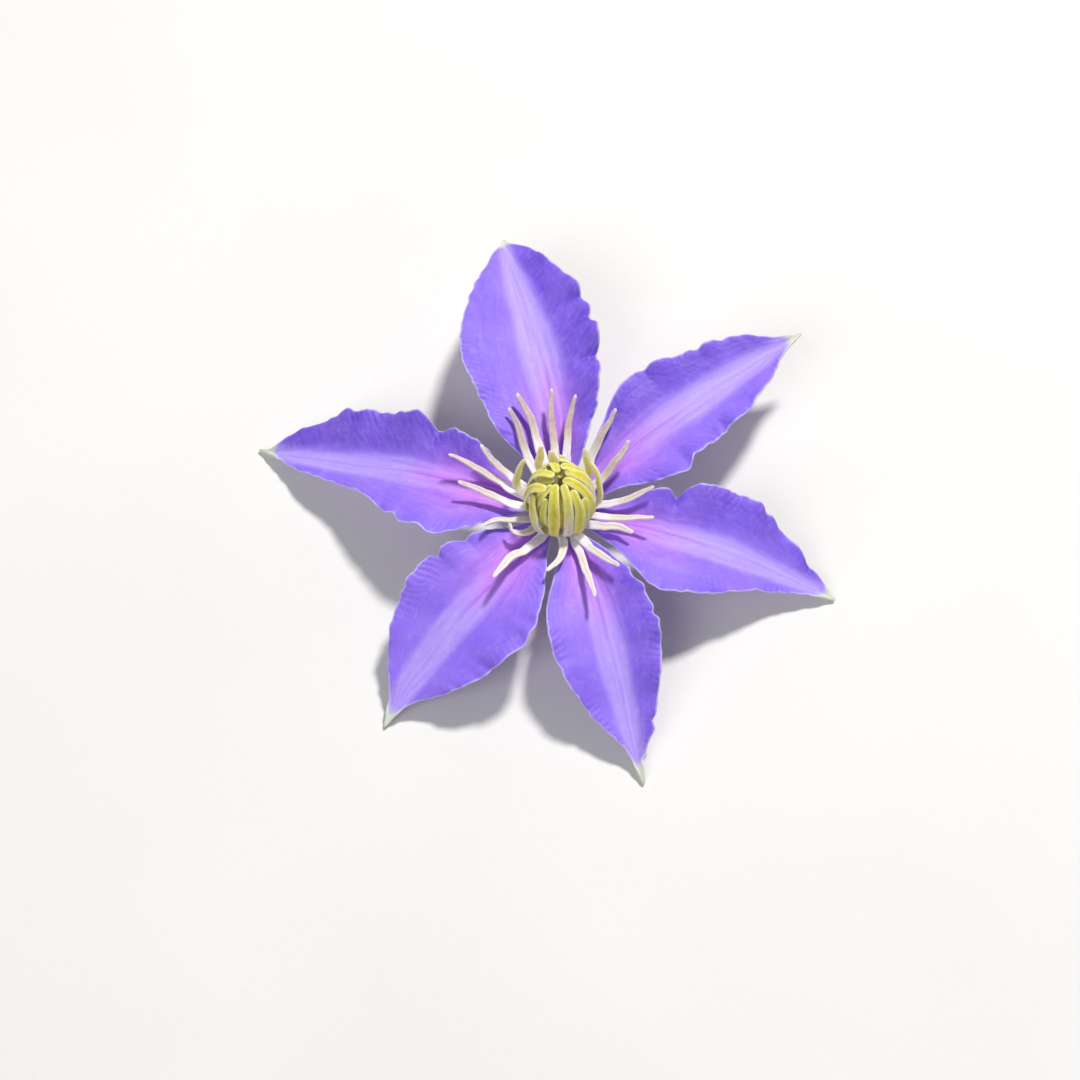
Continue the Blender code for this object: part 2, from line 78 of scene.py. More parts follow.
# base, bearing, length, leaves, arrives, heights, left, right, waves, trough and
# rests as in the CAD.
TEPALS = {
    "tepal_back": dict(
        base=95, bearing=100.5, length=45.5, leaves=-16, arrives=0, heights=(9.6, 10.4, 10.5, 9.9),
        left=((0.10, 5.0), (0.20, 9.0), (0.32, 10.5), (0.54, 12.0), (0.74, 8.5), (0.90, 3.5)),
        right=((0.12, 3.5), (0.32, 7.0), (0.56, 9.0), (0.76, 7.5), (0.92, 3.5)),
        waves=((5.0, 0.4, 0.35), (5.5, 2.2, 0.75)),
        trough=(1.0, 1.35),
        rests=False,
    ),
    "tepal_back_right": dict(
        base=38, bearing=39.5, length=44.0, leaves=8, arrives=-4, heights=(9.3, 9.8, 9.9, 10.6),
        left=((0.12, 3.0), (0.42, 8.5), (0.60, 7.0), (0.80, 5.0), (0.94, 1.2)),
        right=((0.12, 4.0), (0.30, 9.0), (0.42, 8.0), (0.56, 7.5), (0.78, 4.5), (0.92, 1.2)),
        waves=((6.0, 1.0, 0.40), (6.5, 3.0, 0.50)),
        trough=(1.3, 0.8),
        rests=False,
    ),
    "tepal_right": dict(
        base=-19.5, bearing=-14.5, length=38.8, leaves=-5, arrives=-5, heights=RESTING,
        left=((0.12, 3.5), (0.30, 6.5), (0.58, 9.0), (0.76, 6.0), (0.92, 2.0)),
        right=((0.12, 3.5), (0.36, 10.5), (0.48, 9.5), (0.64, 6.0), (0.86, 2.0)),
        waves=((5.0, 0.2, 0.65), (4.5, 1.4, 0.30)),
        trough=(1.1, 0.8),
        rests=True,
    ),
    "tepal_front": dict(
        base=-74.5, bearing=-74, length=40.2, leaves=7, arrives=0, heights=RESTING,
        left=((0.12, 3.0), (0.32, 6.5), (0.48, 7.5), (0.72, 5.0), (0.83, 3.2), (0.91, 1.0)),
        right=((0.12, 3.0), (0.36, 8.0), (0.52, 8.5), (0.76, 4.5), (0.89, 1.0)),
        waves=((6.0, 2.6, 0.55), (5.0, 0.9, 0.30)),
        trough=(1.2, 0.9),
        rests=True,
    ),
    "tepal_front_left": dict(
        base=-131, bearing=-128, length=38.0, leaves=8, arrives=10, heights=RESTING,
        left=((0.12, 3.5), (0.32, 9.0), (0.42, 11.0), (0.54, 10.5), (0.74, 7.0), (0.90, 1.5)),
        right=((0.12, 4.2), (0.30, 7.7), (0.50, 9.5), (0.74, 6.0), (0.90, 1.5)),
        waves=((5.5, 1.8, 0.35), (6.0, 0.5, 0.35)),
        trough=(0.9, 1.0),
        rests=True,
    ),
    "tepal_left": dict(
        base=160.5, bearing=161, length=44.8, leaves=4, arrives=-5, heights=RESTING,
        left=((0.11, 5.0), (0.20, 8.8), (0.28, 10.9), (0.42, 9.5), (0.58, 5.5), (0.82, 2.8), (0.95, 0.6)),
        right=((0.12, 3.5), (0.34, 7.5), (0.50, 8.5), (0.76, 7.0), (0.90, 3.0), (0.95, 0.8)),
        waves=((5.0, 2.9, 0.30), (4.5, 0.8, 0.80)),
        trough=(0.9, 1.3),
        rests=True,
    ),
}

# What only the looks need. bar: width of the pale central bar beside the
# others'. flank: painted shade on the left and the right blade, how much each is
# darkened as if turned from the light. folds: (side, s, reach in s, notch, height,
# inward power) of single folds in the margin, side 1 being the left one; the
# dipping ones also get painted shadow. seed: for the fine detail.
LOOKS = {
    "tepal_back": dict(
        bar=1.2,
        flank_shade=(0.15, 0.85),
        flush=0.85,
        seed=11,
        folds=(
            (-1, 0.565, 0.021, 0.50, -0.75, 3.2), (-1, 0.435, 0.023, 0.45, -0.80, 3.2), (-1, 0.225, 0.024, 0.30, -0.5, 3.2),
            (-1, 0.655, 0.018, 0.35, -0.45, 3.5), (1, 0.73, 0.016, 0.25, 0.3, 3.5),
        ),
    ),
    "tepal_back_right": dict(
        bar=1.15,
        flank_shade=(0.75, 0.15),
        flush=0.75,
        seed=23,
        folds=(
            (-1, 0.385, 0.020, 0.40, 0.5, 3.0), (-1, 0.55, 0.018, 0.25, -0.4, 3.0), (1, 0.47, 0.018, 0.20, -0.4, 3.0),
            (1, 0.66, 0.020, 0.20, -0.4, 3.0),
        ),
    ),
    "tepal_right": dict(
        bar=0.95,
        flank_shade=(0.55, 0.0),
        flush=0.8,
        seed=37,
        folds=(
            (1, 0.34, 0.024, 0.75, -0.85, 2.2), (1, 0.66, 0.014, 0.30, -0.3, 3.0), (1, 0.86, 0.022, 0.25, -0.45, 2.5),
            (-1, 0.70, 0.018, 0.25, 0.3, 3.0),
        ),
    ),
    "tepal_front": dict(
        bar=0.95,
        flank_shade=(0.48, 0.0),
        flush=0.95,
        seed=41,
        folds=(
            (1, 0.30, 0.020, 0.35, -0.5, 2.5), (1, 0.79, 0.020, 0.30, -0.55, 2.5), (1, 0.44, 0.020, 0.20, -0.4, 2.5),
            (-1, 0.56, 0.016, 0.25, 0.25, 3.0),
        ),
    ),
    "tepal_front_left": dict(
        bar=1.1,
        flank_shade=(0.0, 0.05),
        flush=1.15,
        seed=53,
        folds=(
            (-1, 0.40, 0.018, 0.45, -0.4, 3.0), (-1, 0.29, 0.018, 0.35, -0.3, 3.0), (1, 0.42, 0.018, 0.35, 0.4, 3.0),
            (1, 0.60, 0.016, 0.25, -0.3, 3.0),
        ),
    ),
    "tepal_left": dict(
        bar=1.0,
        flank_shade=(0.0, 0.95),
        flush=1.1,
        seed=67,
        folds=(
            (-1, 0.395, 0.028, 0.70, -0.95, 2.0), (-1, 0.675, 0.020, 0.40, -0.4, 3.0), (1, 0.335, 0.022, 0.45, 0.5, 3.0),
            (1, 0.43, 0.016, 0.30, 0.3, 3.0),
        ),
    ),
}

OUTER = (
    (0, 126, (123, 118, 117), 16.7, 4.0, 0),
    (1, 110, (109, 108, 110), 18.5, 3.7, 0),
    (0, 94, (94, 95, 94), 18.1, 4.4, 0),
    (1, 79, (82, 84, 82), 17.1, 3.9, 0),
    (0, 57, (57, 60, 60), 16.8, 4.2, 0),
    (1, 27, (28, 35, 40), 13.3, 4.3, 0),
    (0, -3, (-2, 0, 5), 13.9, 3.6, 0),
    (1, -27, (-24, -20, -16), 14.3, 2.9, 0),
    (0, -43, (-38, -30, -31), 12.5, 3.0, 0),
    (1, -64, (-65, -60, -55), 15.0, 2.7, 0),
    (0, -73, (-72, -73, -74), 18.1, 3.0, 0),
    (1, -92, (-87, -89, -99), 13.3, 2.7, 0),
    (0, -112, (-118, -125, -124), 17.3, 3.4, 0),
    (1, -128, (-129, -134, -147), 11.5, 2.6, 2.6),
    (0, -147, (-151, -157, -153), 12.5, 3.6, 0),
    (1, -167, (-177, -185, -188), 15.2, 3.1, 0),
    (0, 170, (161, 157, 158), 17.8, 3.8, 0),
    (1, 153, (152, 150, 145), 14.3, 3.7, 0),
)
RAISED = (
    (35, -9, 34, 5.9, 5.4, 16.7),
    (30, 41, 53, 6.0, 5.9, 17.5),
    (0, 82, 88, 5.2, 4.4, 16.0),
    (-15, 120, 116, 6.3, 6.2, 16.9),
    (-10, 97, 107, 5.6, 5.0, 16.7),
    (-40, 165, 147, 6.9, 6.2, 16.7),
)
BOSS = {
    "boss_stamen_a": (
        (
            (2.0, 11.0), (3.4, 10.8), (4.4, 11.0), (5.0, 12.2), (4.9, 14.4), (4.25, 16.4), (3.2, 17.7),
            (1.9, 18.3), (0.3, 18.3),
        ),
        (
            (-117, -42, 0, 0.66, 1.50), (-100, 0, -0.5, 0.95, 1.35), (-79, 12, 0, 0.94, 1.25),
            (-60, 14, 0, 0.83, 1.30), (-43, 10, 0, 0.67, 1.25), (-18, -1, 0, 0.99, 1.35),
            (1, 10, 1.1, 0.95, 1.45), (22, 12, 1.7, 0.93, 1.55), (49, 0, 2.6, 0.82, 1.55),
            (82, 4, 0, 0.70, 1.20), (103, 2, 0, 0.94, 1.25), (125, -2, 0, 0.72, 1.35), (150, 0, 0, 0.96, 1.40),
            (174, 2, 2.1, 0.88, 1.40),
        ),
    ),
    "boss_stamen_b": (
        ((1.7, 11.8), (2.9, 11.8), (3.7, 12.2), (4.1, 13.6), (3.95, 15.0), (3.3, 16.3), (2.4, 17.1), (1.0, 17.5)),
        (
            (-122, -8, 0, 0.72, 1.15), (-85, 2, 0, 0.88, 1.10), (-56, 10, 0.4, 0.90, 1.20),
            (-33, 10, 0, 0.80, 1.10), (-12, 8, 0, 0.90, 1.20), (10, 12, 0.5, 0.88, 1.15),
            (33, 10, 0.4, 0.78, 1.10), (59, 8, 0, 0.85, 1.10), (85, 4, 0, 0.95, 1.15),
            (112, -2, 0, 0.87, 1.15), (137, -6, 0, 0.93, 1.15), (166, -4, 0, 0.95, 1.20),
            (-153, 4, 0, 0.92, 1.25),
        ),
    ),
}
BOSS_LEAN = (-0.1, -2.2, 0.145)
BOSS_FOOT_Z = 10.6
BOSS_HEART = (-0.1, -0.2, 13.8)


# ---------------------------------------------------------------------------
# Curves, noise and meshes
# ---------------------------------------------------------------------------
def through(stations, values):
    """A smooth curve through values at stations: a cubic with central slopes."""
    x = np.asarray(stations, float)
    y = np.asarray(values, float)
    y = y.reshape(len(x), -1)
    slope = np.empty_like(y)
    chord = np.diff(y, axis=0) / np.diff(x)[:, None]
    slope[0], slope[-1] = chord[0], chord[-1]
    h = np.diff(x)[:, None]
    slope[1:-1] = (chord[:-1] * h[1:] + chord[1:] * h[:-1]) / (h[1:] + h[:-1])

    def at(t):
        t = np.clip(np.atleast_1d(np.asarray(t, float)), x[0], x[-1])
        i = np.clip(np.searchsorted(x, t, side="right") - 1, 0, len(x) - 2)
        w = (x[i + 1] - x[i])[:, None]
        u = (t - x[i])[:, None] / w
        return (
            (2 * u**3 - 3 * u**2 + 1) * y[i]
            + (u**3 - 2 * u**2 + u) * w * slope[i]
            + (-2 * u**3 + 3 * u**2) * y[i + 1]
            + (u**3 - u**2) * w * slope[i + 1]
        )

    return at


def unit(v):
    return v / np.maximum(np.linalg.norm(v, axis=-1, keepdims=True), 1e-12)


def smooth(low, high, x):
    u = np.clip((x - low) / (high - low), 0, 1)
    return u * u * (3 - 2 * u)


def bump(x, width):
    return np.exp(-((x / width) ** 2))


def wander(seed, x, step):
    """Smooth noise between -1 and 1 along a line, with a new value every step."""
    table = np.random.RandomState(seed).uniform(-1, 1, 512)
    x = np.asarray(x, float) / step + 100.0
    i = np.floor(x).astype(int)
    u = x - i
    u = u * u * (3 - 2 * u)
    return table[i % 512] * (1 - u) + table[(i + 1) % 512] * u


def wander2(seed, x, y, step_x, step_y):
    """Smooth noise between -1 and 1 over a plane."""
    table = np.random.RandomState(seed).uniform(-1, 1, (64, 64))
    x = np.asarray(x, float) / step_x + 30.0
    y = np.asarray(y, float) / step_y + 30.0
    i, j = np.floor(x).astype(int), np.floor(y).astype(int)
    u, w = x - i, y - j
    u, w = u * u * (3 - 2 * u), w * w * (3 - 2 * w)
    a, b = table[i % 64, j % 64], table[(i + 1) % 64, j % 64]
    c, d = table[i % 64, (j + 1) % 64], table[(i + 1) % 64, (j + 1) % 64]
    return (a * (1 - u) + b * u) * (1 - w) + (c * (1 - u) + d * u) * w


def make(name, points, quads, material, attributes, extra_faces=()):
    """A mesh object from points in mm, quads as an array, and float attributes."""
    quads = np.asarray(quads, np.int64).reshape(-1, 4)
    extra = [tuple(int(k) for k in f) for f in extra_faces]
    mesh = bpy.data.meshes.new(name)
    co = ((np.asarray(points) - ORIGIN) * MM).astype(np.float32)
    loops = np.concatenate([quads.ravel(), np.array([k for f in extra for k in f], np.int64)])
    sizes = np.concatenate([np.full(len(quads), 4), np.array([len(f) for f in extra], np.int64)])
    mesh.vertices.add(len(co))
    mesh.vertices.foreach_set("co", co.ravel())
    mesh.loops.add(len(loops))
    mesh.loops.foreach_set("vertex_index", loops.astype(np.int32))
    mesh.polygons.add(len(sizes))
    starts = np.concatenate([[0], np.cumsum(sizes)[:-1]])
    mesh.polygons.foreach_set("loop_start", starts.astype(np.int32))
    mesh.update(calc_edges=True)
    mesh.validate()
    for key, values in attributes.items():
        layer = mesh.attributes.new(key, "FLOAT", "POINT")
        layer.data.foreach_set("value", np.asarray(values, np.float32).ravel())
    mesh.materials.append(material)
    mesh.shade_smooth()
    o = bpy.data.objects.new(name, mesh)
    bpy.context.scene.collection.objects.link(o)
    return o


def grid(rows, columns, start=0, turned=False, wrap=False):
    """Quads over a grid of rows and columns of points."""
    i, j = np.meshgrid(np.arange(rows - 1), np.arange(columns if wrap else columns - 1), indexing="ij")
    a = start + i * columns + j
    b = start + i * columns + (j + 1) % columns
    q = np.stack([a, b, b + columns, a + columns], -1).reshape(-1, 4)
    return q[:, ::-1] if turned else q


# ---------------------------------------------------------------------------
# Tepals
# ---------------------------------------------------------------------------
def midrib(tepal):
    """The midrib: a curve that leaves the base and arrives at the tip turned
    from the straight line between them, and rises and falls over its heights."""
    base, bearing = math.radians(tepal["base"]), math.radians(tepal["bearing"])
    start = ATTACH_R * np.array([math.cos(base), math.sin(base)])
    ahead = np.array([math.cos(bearing), math.sin(bearing)])
    leftward = np.array([-ahead[1], ahead[0]])
    leaves, arrives = math.tan(math.radians(tepal["leaves"])), math.tan(math.radians(tepal["arrives"]))
    height = through(np.linspace(0, 1, 5), (ATTACH_Z, *tepal["heights"]))

    def at(s):
        s = np.atleast_1d(np.asarray(s, float))
        bow = leaves * (s**3 - 2 * s**2 + s) + arrives * (s**3 - s**2)
        flat = start + tepal["length"] * (s[:, None] * ahead + bow[:, None] * leftward)
        return np.column_stack([flat, height(s)])

    return at


def margin(rows):
    """Half-width along one side of a tepal, from its claw to its point."""
    return through(*zip((0, CLAW_HALF), *rows, (1, POINT_HALF)))


def tepal_shape(t, s, v, detail=True):
    """Middle surface of a tepal over the grid of s (base to tip) and v (left
    margin 1 to right margin -1): points, half-widths, across and along in mm."""
    mid = midrib(t)
    fine = mid(np.linspace(0, 1, 400))
    length = np.linalg.norm(np.diff(fine, axis=0), axis=1).sum()
    m = mid(s)
    along = unit(mid(np.minimum(s + 0.01, 1)) - mid(np.maximum(s - 0.01, 0)))
    across = unit(np.cross(np.array([0.0, 0.0, 1.0]), along))
    up = np.cross(along, across)
    left, right = margin(t["left"])(s)[:, 0], margin(t["right"])(s)[:, 0]
    S, V = np.meshgrid(s, v, indexing="ij")
    L = S * length
    side = np.abs(V)
    is_left = V > 0
    seed = t["seed"]
    if detail:
        # the outline itself is finely and unevenly scalloped
        fade = smooth(0.05, 0.2, s) * (1 - smooth(0.90, 0.985, s))
        for k, half in ((1, left), (-1, right)):
            Ls = s * length
            n = seed * 7 + k
            uneven = 0.55 + 0.45 * wander(n + 5, Ls, 5.0)
            half += fade * uneven * (0.10 * wander(n, Ls, 1.1) + 0.10 * np.sin(2 * np.pi * Ls / 2.3 + 2.2 * wander(n + 1, Ls, 3.0)))
            for fold_side, s0, reach, notch, _, _ in t["folds"]:
                if fold_side == k:
                    half -= notch * (bump(s - s0, reach) - 0.30 * bump(s - s0 - 2.1 * reach, 1.2 * reach) - 0.25 * bump(s - s0 + 2.1 * reach, 1.2 * reach))
        # the point narrows to a small round end
        narrowing = 1 - 0.35 * smooth(0.93, 0.985, s)
        narrowing = narrowing * np.sqrt(np.clip(1 - (np.clip(s - 0.972, 0, 1) / 0.0281) ** 2, 0.03, 1))
        left, right = left * narrowing, right * narrowing
    half = np.where(is_left, left[:, None], right[:, None])
    a = side * half
    (lc, lp, lh), (rc, rp, rh) = t["waves"]
    ends = np.sin(math.pi * np.clip(S, 0, 1)) ** 0.6
    folds = np.where(is_left, lh * np.sin(2 * math.pi * lc * S + lp), rh * np.sin(2 * math.pi * rc * S + rp))
    steep = np.where(is_left, *t["trough"]) * np.clip(S / 0.2, 0, 1)
    out = side - BAR_SHARE
    ramp = (np.hypot(out, 0.08) + out - math.hypot(BAR_SHARE, 0.08) + BAR_SHARE) / 2
    rise = half * steep * (BLADE_SLOPE * ramp - MARGIN_EASE * side**3)
    rise += folds * ends * side**2.2
    if detail:
        ease = smooth(0.04, 0.18, S) * (1 - smooth(0.88, 0.97, S))
        for fold_side, s0, reach, _, height, power in t["folds"]:
            here = np.where(is_left, 1, -1) == fold_side
            lean = 0.012 * (1 - side)
            rise += here * height * side**power * (bump(S - s0 - lean, reach * 1.2) - 0.35 * bump(S - s0 - lean - 2.3 * reach, reach * 1.4) - 0.35 * bump(S - s0 - lean + 2.3 * reach, reach * 1.4))
        n = seed * 13 + np.where(is_left, 1, 0)
        calm = 0.5 + 0.5 * np.where(is_left, wander(seed + 71, L, 6.0), wander(seed + 72, L, 6.0))
        ruffle = np.where(
            is_left,
            np.sin(2 * np.pi * L / 3.3 + 2.2 * wander(seed + 1, L, 4.0)) + 0.6 * np.sin(2 * np.pi * L / 1.75 + 2.0 * wander(seed + 2, L, 3.0)),
            np.sin(2 * np.pi * L / 3.0 + 2.2 * wander(seed + 3, L, 4.0)) + 0.6 * np.sin(2 * np.pi * L / 1.6 + 2.0 * wander(seed + 4, L, 3.0)),
        )
        rise += ease * (0.03 + 0.14 * calm**1.5) * ruffle * side**6 * np.minimum(half / 6.0, 1)
        # broad unevenness of the blade
        rise += ease * 0.20 * wander2(seed + 9, L, V * half, 7.0, 4.0) * smooth(0.15, 0.6, side)
        rise += ease * 0.07 * wander2(seed + 10, L, V * half, 2.6, 1.6) * smooth(0.25, 0.7, side)
        # fine corrugations across the outer blade
        phase = 2 * np.pi * (L - 0.45 * a) / 0.95 + 2.6 * wander2(seed + 11, L, V * half, 3.0, 2.0)
        patch = smooth(-0.35, 0.5, wander2(seed + 12, L, V * half, 5.0, 3.0))
        rise += ease * 0.045 * patch * smooth(0.5, 0.85, side) * np.sin(phase)
        # grooves over the main veins, and the cushions between them
        taper = 1 - 0.75 * S
        lateral = (0.30 + 0.13 * half) * (1 - 0.45 * S)
        deep = smooth(0.0, 0.08, S) * (1 - smooth(0.93, 0.99, S))
        rise -= deep * 0.11 * taper * bump(a, 0.24)
        rise -= deep * 0.085 * (1 - 0.4 * S) * bump(a - lateral, 0.26)
        rise -= deep * 0.05 * (1 - 0.4 * S) * bump(a - 2.05 * lateral, 0.24)
        for k in (0.50, 0.64, 0.77):
            rise -= deep * 0.022 * bump(a - k * half - 0.12 * wander(seed + int(100 * k), L, 4.0), 0.16)
        # the blade folds up along the pale point
        point_up = smooth(0.91, 0.95, S) * (1 - smooth(0.955, 0.985, S))
        rise += point_up * 0.35 * side**1.5 * np.minimum(half, 0.9)
        # the very margin rolls over a little
        rise -= ease * 0.10 * smooth(0.90, 1.0, side)
    P = m[:, None] + across[:, None] * (np.sign(V) * a)[..., None] + up[:, None] * rise[..., None]
    return P, half, V * half, L


def normals_of(P):
    ds = np.gradient(P, axis=0)
    dv = np.gradient(P, axis=1)
    return unit(-np.cross(ds, dv))


def tepal_columns(count):
    x = np.linspace(1, -1, count)
    inner = 0.96 * (0.55 * x + 0.45 * np.sin(math.pi / 2 * x))
    rim = np.array([0.976, 0.988, 0.996, 1.0])
    return np.concatenate([rim[::-1], inner, -rim])


def tepal_piece(name, t, material, rows=222, columns=67):
    s = np.concatenate([np.linspace(0, 0.985, rows - 4), [0.990, 0.995, 0.9985, 1.0]])
    v = tepal_columns(columns)
    P, half, across_mm, L = tepal_shape(t, s, v)
    N = normals_of(P)
    N *= np.where(N[..., 2:3] < 0, -1, 1)
    S, V = np.meshgrid(s, v, indexing="ij")
    side = np.abs(V)
    a = np.abs(across_mm)
    thick = TEPAL_EDGE_T + (TEPAL_MID_T - TEPAL_EDGE_T) * (1 - side**1.2)
    # the base is a short thick claw, and the point is a thick little beak
    thick = thick + 0.25 * (1 - smooth(0.0, 0.10, S)) + smooth(0.94, 0.99, S) * 0.22
    rim = np.sqrt(np.clip(1 - ((side - 0.955) / 0.047) ** 2, 0, 1))
    thick = thick * np.where(side > 0.955, np.maximum(rim, 0.10), 1)
    tipping = np.sqrt(np.clip(1 - ((S - 0.984) / 0.0165) ** 2, 0, 1))
    thick = thick * np.where(S > 0.984, np.maximum(tipping, 0.12), 1)
    # three ribs stand out of the back, and finer ones beside them
    lateral = (0.30 + 0.13 * half) * (1 - 0.45 * S)
    strong = (1 - 0.7 * S) * smooth(0.0, 0.05, S) * (1 - smooth(0.93, 0.98, S))
    rib = 0.34 * bump(a, 0.34) + 0.24 * bump(a - lateral, 0.30) + 0.12 * bump(a - 2.05 * lateral, 0.25)
    for k in (0.50, 0.64, 0.77):
        rib = rib + 0.05 * bump(a - k * half, 0.18)
    top = P + N * thick[..., None] * 0.5
    under = P - N * (thick * 0.5 + rib * strong)[..., None]
    # the claw runs on into the receptacle
    inward = P[0, len(v) // 2] * np.array([1, 1, 0])
    inward = -inward / np.linalg.norm(inward)
    claw_top, claw_under = [], []
    for step in (1.3, 0.9, 0.45):
        squeeze = 1 - 0.12 * step
        centre = P[0, len(v) // 2]
        shift = inward * step + np.array([0, 0, -0.12 * step])
        claw_top.append(centre + (top[0] - centre) * squeeze + shift)
        claw_under.append(centre + (under[0] - centre) * squeeze + shift)
    top = np.concatenate([np.array(claw_top), top])
    under = np.concatenate([np.array(claw_under), under])
    extra = 3
    R, C = top.shape[0], top.shape[1]

    def pad(x):
        return np.concatenate([np.repeat(x[:1], extra, axis=0), x])

    points = np.concatenate([top.reshape(-1, 3), under.reshape(-1, 3)])
    k = R * C
    faces = [grid(R, C), grid(R, C, k, True)]
    i = np.arange(R - 1) * C
    faces.append(np.stack([i, i + C, i + C + k, i + k], -1))
    i = i + C - 1
    faces.append(np.stack([i + C, i, i + k, i + C + k], -1))
    j = np.arange(C - 1)
    faces.append(np.stack([j + 1, j, j + k, j + 1 + k], -1))
    j = (R - 1) * C + np.arange(C - 1)
    faces.append(np.stack([j, j + 1, j + 1 + k, j + k], -1))

    # masks for the material
    seed = t["seed"]
    Sp, Vp, halfp, Lp, ap = pad(S), pad(V), pad(half), pad(L), pad(a)
    edge = halfp * (1 - np.abs(Vp))
    signed = np.sign(Vp) * ap
    bar_half = through((0, 0.15, 0.3, 0.5, 0.7, 0.85, 0.95, 1.0), (1.5, 2.2, 2.6, 2.4, 1.95, 1.45, 0.95, 0.6))(Sp.ravel())[:, 0].reshape(Sp.shape) * t["bar"]
    bar_half = bar_half + 0.22 * wander2(seed + 31, Lp, np.sign(Vp), 6.0, 1.0)
    blur = 0.55 + 0.5 * (1 - Sp)
    bar = 1 - smooth(-blur, blur * 1.1, ap - bar_half)
    bar *= smooth(0.02, 0.30, Sp) * 0.35 + 0.65 * smooth(0.15, 0.6, Sp)
    flush = (1 - smooth(0.10, 0.52, Sp)) * (1 - smooth(0.25, 0.95, np.abs(Vp)))
    flush = flush + 0.5 * (1 - smooth(0.3, 0.62, Sp)) * bump(ap, 1.7)
    point = (1 - smooth(0.35, 1.7, halfp)) * smooth(0.885, 0.965, Sp) + 0.5 * smooth(0.86, 0.95, Sp) * smooth(0.45, 1.0, np.abs(Vp)) * (1 - smooth(0.6, 2.2, halfp))
    # painted shade: the blade of most tepals that turns from the light is darkened to a deeper blue, and painted shadow
    # darkens it more in its folds
    flank_shade = np.where(Vp > 0, *t["flank_shade"]) * smooth(0.22, 0.50, np.abs(Vp)) * (1 - 0.35 * smooth(0.80, 1.0, np.abs(Vp)))
    flank_shade = flank_shade * smooth(0.10, 0.32, Sp) * (1 - smooth(0.86, 0.96, Sp)) * (1 + 0.25 * wander2(seed + 51, Lp, Vp * halfp, 6.0, 3.0))
    # painted shadow: where a fold dips, it is darkened more, as if shaded by the margin raised beside it
    for fold_side, s0, reach, _, height, _ in t["folds"]:
        if height < 0:
            here = np.where(Vp > 0, 1, -1) == fold_side
            flank_shade = flank_shade + here * min(1.0, -1.3 * height) * smooth(0.55, 0.92, np.abs(Vp)) * bump(Sp - s0 - 0.006, 0.85 * reach)
    attributes = {
        "along": np.concatenate([Sp.ravel()] * 2),
        "share": np.concatenate([Vp.ravel()] * 2),
        "along_mm": np.concatenate([Lp.ravel()] * 2),
        "across_mm": np.concatenate([signed.ravel()] * 2),
        "edge_mm": np.concatenate([edge.ravel()] * 2),
        "bar": np.concatenate([bar.ravel()] * 2),
        "flush": np.concatenate([np.clip(flush * t["flush"], 0, 1).ravel()] * 2),
        "point": np.concatenate([np.clip(point, 0, 1).ravel()] * 2),
        "flank_shade": np.concatenate([np.clip(flank_shade, 0, 1.2).ravel()] * 2),
        "under": np.concatenate([np.zeros(k), np.ones(k)]),
        "rib": np.concatenate([np.zeros(k), pad(rib * strong).ravel() / 0.34]),
    }
    return make("look_" + name, points, np.concatenate(faces), material, attributes)


def lay_down(t):
    """Lowers or raises a resting tepal's tip until its underside meets the floor,
    by the same rule as in the CAD."""
    share = np.linspace(0.25, 1, 4) ** 2
    s, v = np.linspace(0, 1, 60), np.linspace(1, -1, 21)
    for _ in range(7):
        P, half, across_mm, _ = tepal_shape(t, s, v)
        N = normals_of(P)
        N *= np.where(N[..., 2:3] < 0, -1, 1)
        V = np.abs(np.broadcast_to(v, P.shape[:2]))
        thick = TEPAL_EDGE_T + 0.12 + (TEPAL_MID_T - TEPAL_EDGE_T) * (1 - V**1.2)
        low = (P - N * (thick / 2)[..., None])[..., 2].min()
        t["heights"] = tuple(np.array(t["heights"]) - (low - 0.02) * share)


# ---------------------------------------------------------------------------
# Straps: the stamens
# ---------------------------------------------------------------------------
def polar(route):
    r, a, z = np.asarray(route, float).T
    a = np.radians(a)
    return np.stack([r * np.cos(a), r * np.sin(a), z], -1)


def along_path(points, shares):
    """Points at shares of the length of a smooth path through points."""
    points = np.asarray(points, float)
    steps = np.concatenate([[0], np.cumsum(np.linalg.norm(np.diff(points, axis=0), axis=1))])
    at = through(steps / steps[-1], points)
    fine = at(np.linspace(0, 1, 300))
    run = np.concatenate([[0], np.cumsum(np.linalg.norm(np.diff(fine, axis=0), axis=1))])
    return at(np.interp(np.asarray(shares) * run[-1], run, np.linspace(0, 1, 300)))


def smoothed(points, passes):
    for _ in range(passes):
        points[1:-1] = 0.25 * points[:-2] + 0.5 * points[1:-1] + 0.25 * points[2:]
    return points


